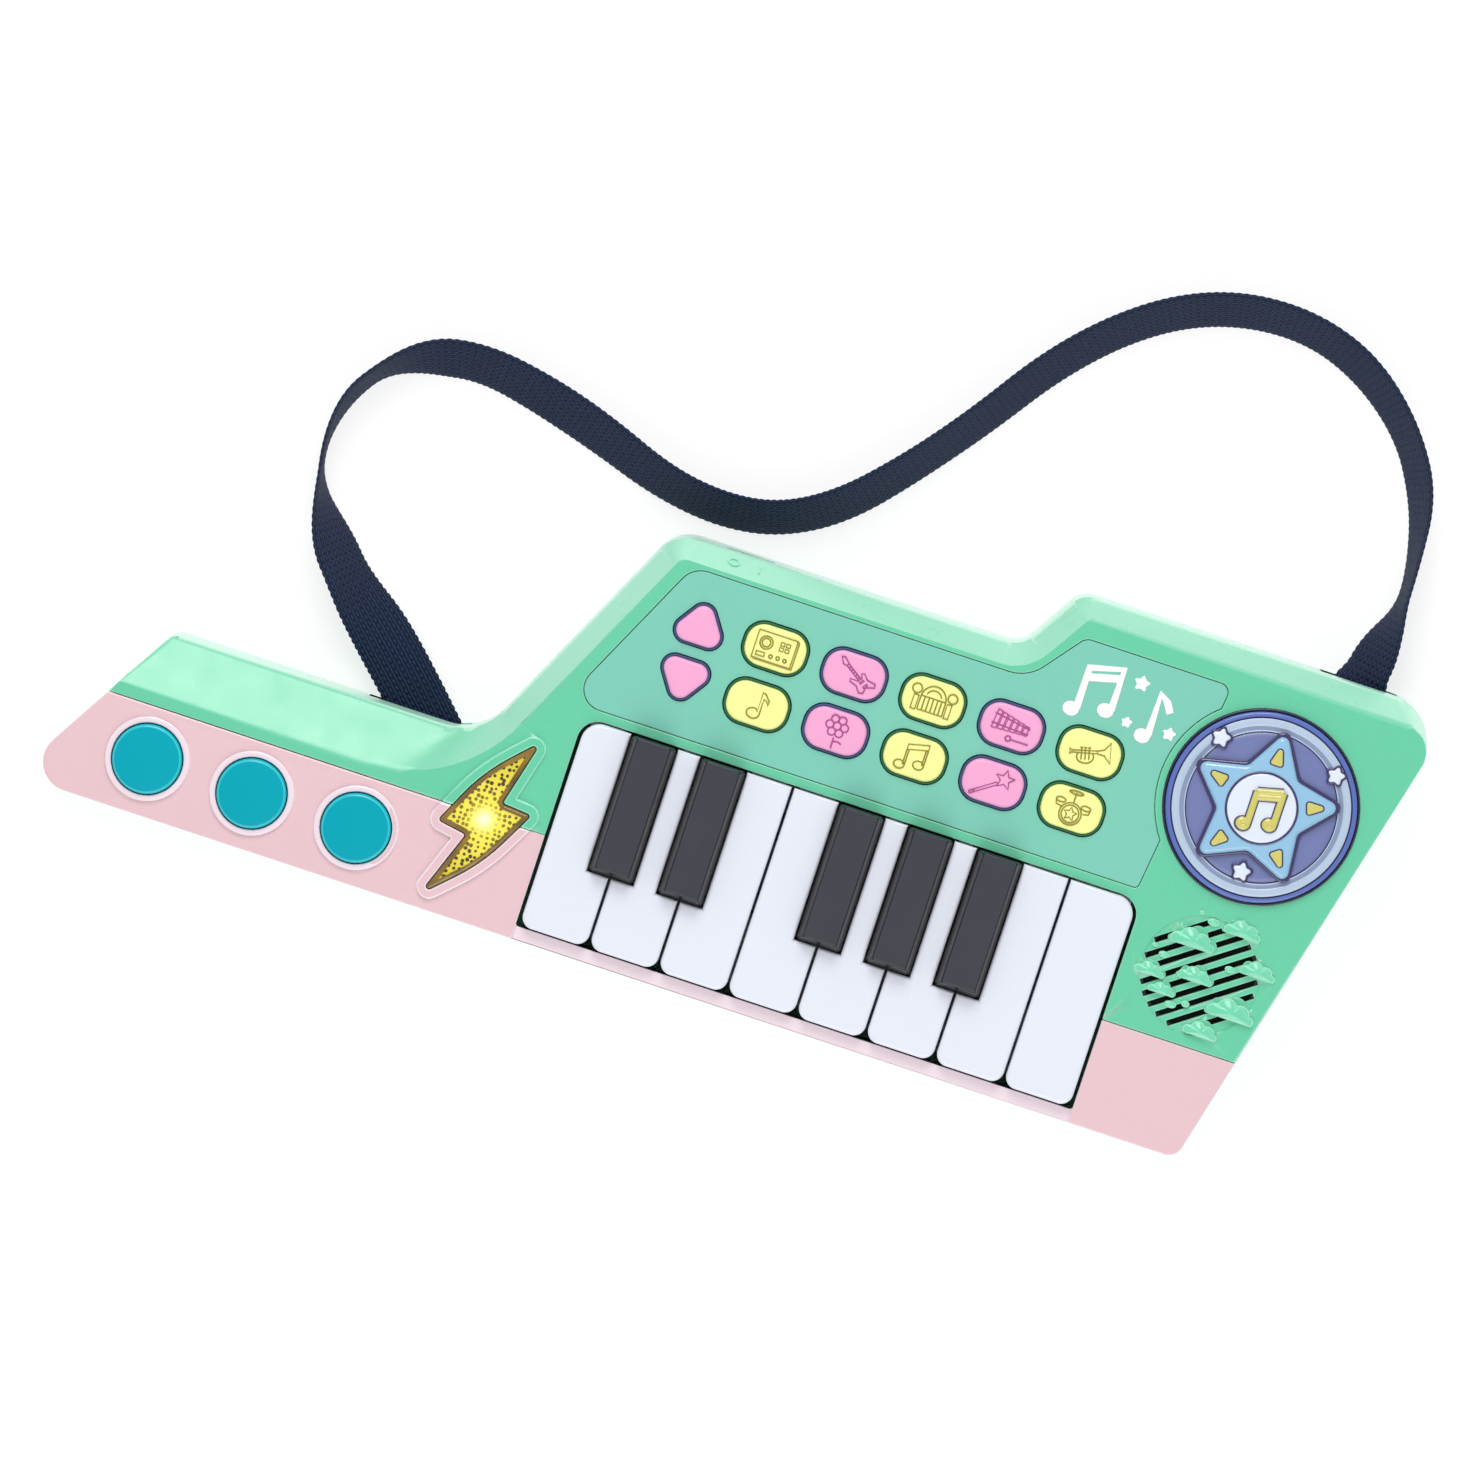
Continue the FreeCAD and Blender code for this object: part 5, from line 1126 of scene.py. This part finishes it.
def build_bolt():
    """The lens with its rounded, darker edge and its lit, dotted middle."""
    node, middle = "bolt_lens", (-70.1, -47.6)
    low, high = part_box(node)
    top = high.z / MM + 0.8
    profile = pillow(0.0, low.z / MM, top, 1.0, 6) + [(-1.5, top - 0.1), (-1.6, top - 0.4), (-1.9, top - 0.4)]
    slots = [0] * (len(profile) - 1) + [1]
    lens = stacked("bolt_cover", polygon(BOLT, 10), profile, middle, [amber_edge(), amber_glow(middle)],
                   body_of(node), slots, sharp=50)
    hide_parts(node)


# ---------- clouds

# The clouds moulded over the grille, from its middle: across, up and half as wide as each is.
CLOUDS = [
    (-5.6, 8.0, 7.2), (8.8, 16.1, 6.0), (17.6, 5.1, 5.8), (-1.2, -2.4, 5.6),
    (-15.8, -4.7, 4.8), (-10.2, -9.4, 4.3), (13.4, -10.6, 7.7), (6.0, -18.8, 5.6),
]
# Small drops between them: across, up, half as long and half as wide.
DROPS = [
    (-1.0, 17.9, 2.1, 1.3), (-5.6, 19.8, 0.9, 0.7), (-16.7, 5.2, 1.1, 0.7), (-13.1, 3.0, 1.7, 1.1),
    (8.8, 5.0, 1.8, 1.1), (-6.0, -11.7, 2.0, 1.2), (-1.4, -10.1, 1.4, 1.1),
]
# The round lobes that make up a cloud: across, up and radius, as shares of half the width.
LOBES = [(-0.72, 0.22, 0.30), (-0.18, 0.40, 0.46), (0.38, 0.32, 0.42), (0.78, 0.16, 0.24)]


CLOUD_MIDDLE = Vector((0.05, 0.30))


def cloud(half_width):
    """A flat-footed outline round the lobes, seen from the middle of the cloud's body."""
    points = []
    for step in range(96):
        way = Vector((math.cos(math.tau * step / 96), math.sin(math.tau * step / 96)))
        reach = 0.0
        for across, up, radius in LOBES:
            offset = Vector((across, up)) - CLOUD_MIDDLE
            along = offset.dot(way)
            inside = radius ** 2 - offset.length_squared + along ** 2
            if inside > 0:
                reach = max(reach, along + math.sqrt(inside))
        if way.y < 0:
            reach = min(reach, CLOUD_MIDDLE.y / -way.y)
        points.append(way * reach)
    return lambda growth: [point * (half_width + growth) for point in points]


def build_clouds():
    """Pillowy clouds with scalloped edges, and small drops between them, over the slots, in a lighter mint
    that is painted light.
    """
    x, y = middle_of("speaker_cone")
    for number, (across, up, half_width) in enumerate(CLOUDS, start=1):
        profile = [(0.1, FACE - 0.5), (0.1, FACE + 0.3)] + round_over(0.1, FACE + 1.4, 1.1, 6)
        centre = Vector((x + across, y + up)) + CLOUD_MIDDLE * half_width
        stacked(f"grille_cloud_{number}", cloud(half_width), profile, centre, [CLOUD_MINT_PAINTED_LIGHT], CASE,
                crown=0.2 * half_width, sharp=60)
    for number, (across, up, half_length, half_width) in enumerate(DROPS, start=1):
        profile = pillow(0.0, FACE - 0.5, FACE + 0.7, half_width * 0.8)
        stacked(f"grille_drop_{number}", oval(half_length, half_width), profile, (x + across, y + up),
                [CLOUD_MINT_PAINTED_LIGHT], CASE, crown=0.1, sharp=60)


# ---------- marks and printing


PRINT_PLACE = (114.6, 53.0)
PRINTED_STARS = [(3.0, 7.8, 3.0), (16.4, -5.0, 2.6), (2.2, -5.6, 2.2)]


def build_marks():
    """Raised off and on marks above the power switch, and white printed music notes on the panel."""
    slope = Matrix.Rotation(-math.atan2(FACE - BEVEL_FOOT, 7.0), 4, "X")
    for name, stroke, x in (("off_mark", ring(0, 0, 1.7, 1.0, 24), -19.5),
                            ("on_mark", open_line(0, -1.9, 0, 1.9), -10.8)):
        lines(name, [stroke], 0.42, (x, 56.3, 31.0), MINT, CASE, turn=slope)
    top = FACE + 0.02
    x, y = PRINT_PLACE
    notes = [open_line(-14.6, -6.4, -14.6, 7.4, -3.8, 10.2, -3.8, -3.6), open_line(-14.6, 4.2, -3.8, 7.0),
             ring(-16.3, -7.0, 1.5, 0.72), ring(-5.5, -4.2, 1.5, 0.72),
             open_line(10.0, -7.6, 10.0, 6.4, 12.8, 4.4, 14.6, 1.4), ring(8.3, -8.2, 1.5, 0.72)]
    lines("printed_notes", notes, 1.35, (x, y, top), PRINT, CASE, 0.04)
    for number, (across, up, size) in enumerate(PRINTED_STARS, start=1):
        stacked(f"printed_star_{number}", star(size, size * 0.55, 0.4, 0.4),
                [(0.0, top - 0.03), (0.0, top + 0.05)], (x + across, y + up), [PRINT], CASE)


# ---------- inner pieces


def metal(name, display, roughness, brushed):
    """Plated or bare metal with a drawn grain and a few darker stains."""
    nodes, colour = Nodes(name), linear(*display)
    grain = nodes.noise(1.0, 4.0, 0.6, nodes.vector("MULTIPLY", nodes.place, brushed))
    return nodes.surface({
        "Base Color": nodes.mix(nodes.noise(80.0, 4.0), shade(colour, 0.88), shade(colour, 1.05)),
        "Roughness": nodes.uneven(grain, roughness - 0.08, roughness + 0.1), "Metallic": 1.0,
        "Normal": nodes.bump(grain, 0.02 * MM, 0.4)})


def paper():
    """Black pressed paper of the speaker cone."""
    nodes = Nodes("cone_paper")
    fibres = nodes.noise(1500.0, 4.0, 0.7)
    return nodes.surface({
        "Base Color": nodes.mix(fibres, linear(18, 18, 19), linear(40, 40, 42)),
        "Roughness": nodes.uneven(fibres, 0.75, 0.95), "Normal": nodes.bump(fibres, 0.05 * MM, 0.8)})


def circuit_board():
    """Green lacquered laminate with faint copper tracks."""
    nodes = Nodes("board_laminate")
    bricks = nodes.add("TexBrick", {
        "Vector": nodes.place, "Scale": 160.0, "Color1": linear(26, 92, 52), "Color2": linear(20, 78, 44),
        "Mortar": linear(60, 130, 74)})["Color"]
    return nodes.surface({
        "Base Color": nodes.mix(nodes.noise(300.0), bricks, linear(24, 84, 48)),
        "Roughness": nodes.uneven(nodes.noise(200.0), 0.3, 0.45)})


def build_inner_pieces():
    """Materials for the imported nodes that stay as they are."""
    made = {
        "inner_plastic": moulded("natural_abs", (226, 226, 220), 0.5),
        "circuit_board": circuit_board(),
        "contact_rubber": moulded("silicone", (150, 152, 156), 0.7),
        "steel": metal("plated_steel", (196, 197, 200), 0.28, (2500.0, 120.0, 120.0)),
        "magnet": metal("ferrite", (70, 70, 74), 0.55, (600.0, 600.0, 600.0)),
        "speaker_paper": paper(),
        "battery_wrap": moulded("battery_sleeve", (58, 84, 88), 0.3, coat=0.4),
        "black_key_plastic": BLACK,
    }
    for subpart in frame["record"]["subparts"]:
        node, slot = subpart["node"], subpart["material_slot"]
        piece = frame["nodes"][node]
        if piece.hide_render:
            continue
        piece.data.materials.clear()
        piece.data.materials.append(BLACK if node == "speaker_frame" else made[slot])


# ---------- stage


WHITE_LIGHT = (1.0, 1.0, 1.0, 1.0)


def build_stage():
    """A pale floor and soft studio lights."""
    nodes = Nodes("studio_floor")
    nodes.surface({"Base Color": nodes.mix(nodes.noise(1.4), linear(150, 150, 151), linear(157, 157, 158)),
                   "Emission Color": WHITE_LIGHT, "Emission Strength": 0.72,
                   "Roughness": nodes.uneven(nodes.noise(6.0), 0.6, 0.75)})
    bm = bmesh.new()
    bmesh.ops.create_grid(bm, x_segments=8, y_segments=8, size=6.0)
    mesh = mesh_of("studio_floor", bm)
    mesh.materials.append(nodes.material)
    add_object("studio_floor", mesh)

    world = bpy.data.worlds.new("studio")
    world.use_nodes = True
    backdrop = world.node_tree.nodes["Background"]
    backdrop.inputs["Color"].default_value = WHITE_LIGHT
    backdrop.inputs["Strength"].default_value = 0.62
    scene.world = world

    for name, place, size, power in (
        ("key_light", (-0.30, 1.15, 1.05), 0.9, 13.0),
        ("fill_light", (0.4, -1.1, 1.0), 1.4, 9.0),
    ):
        data = bpy.data.lights.new(name, "AREA")
        data.shape = "DISK"
        data.size = size
        data.energy = power
        light = add_object(name, data)
        light.location = place
        light.rotation_euler = (-Vector(place)).to_track_quat("-Z", "Y").to_euler()
    scene.view_settings.view_transform = "Standard"
    scene.view_settings.look = "None"


build_strap()
build_casing()
build_keys()
build_mode_buttons()
build_volume_buttons()
build_neck_buttons()
build_medallion()
build_bolt()
build_clouds()
build_marks()
build_inner_pieces()
build_stage()
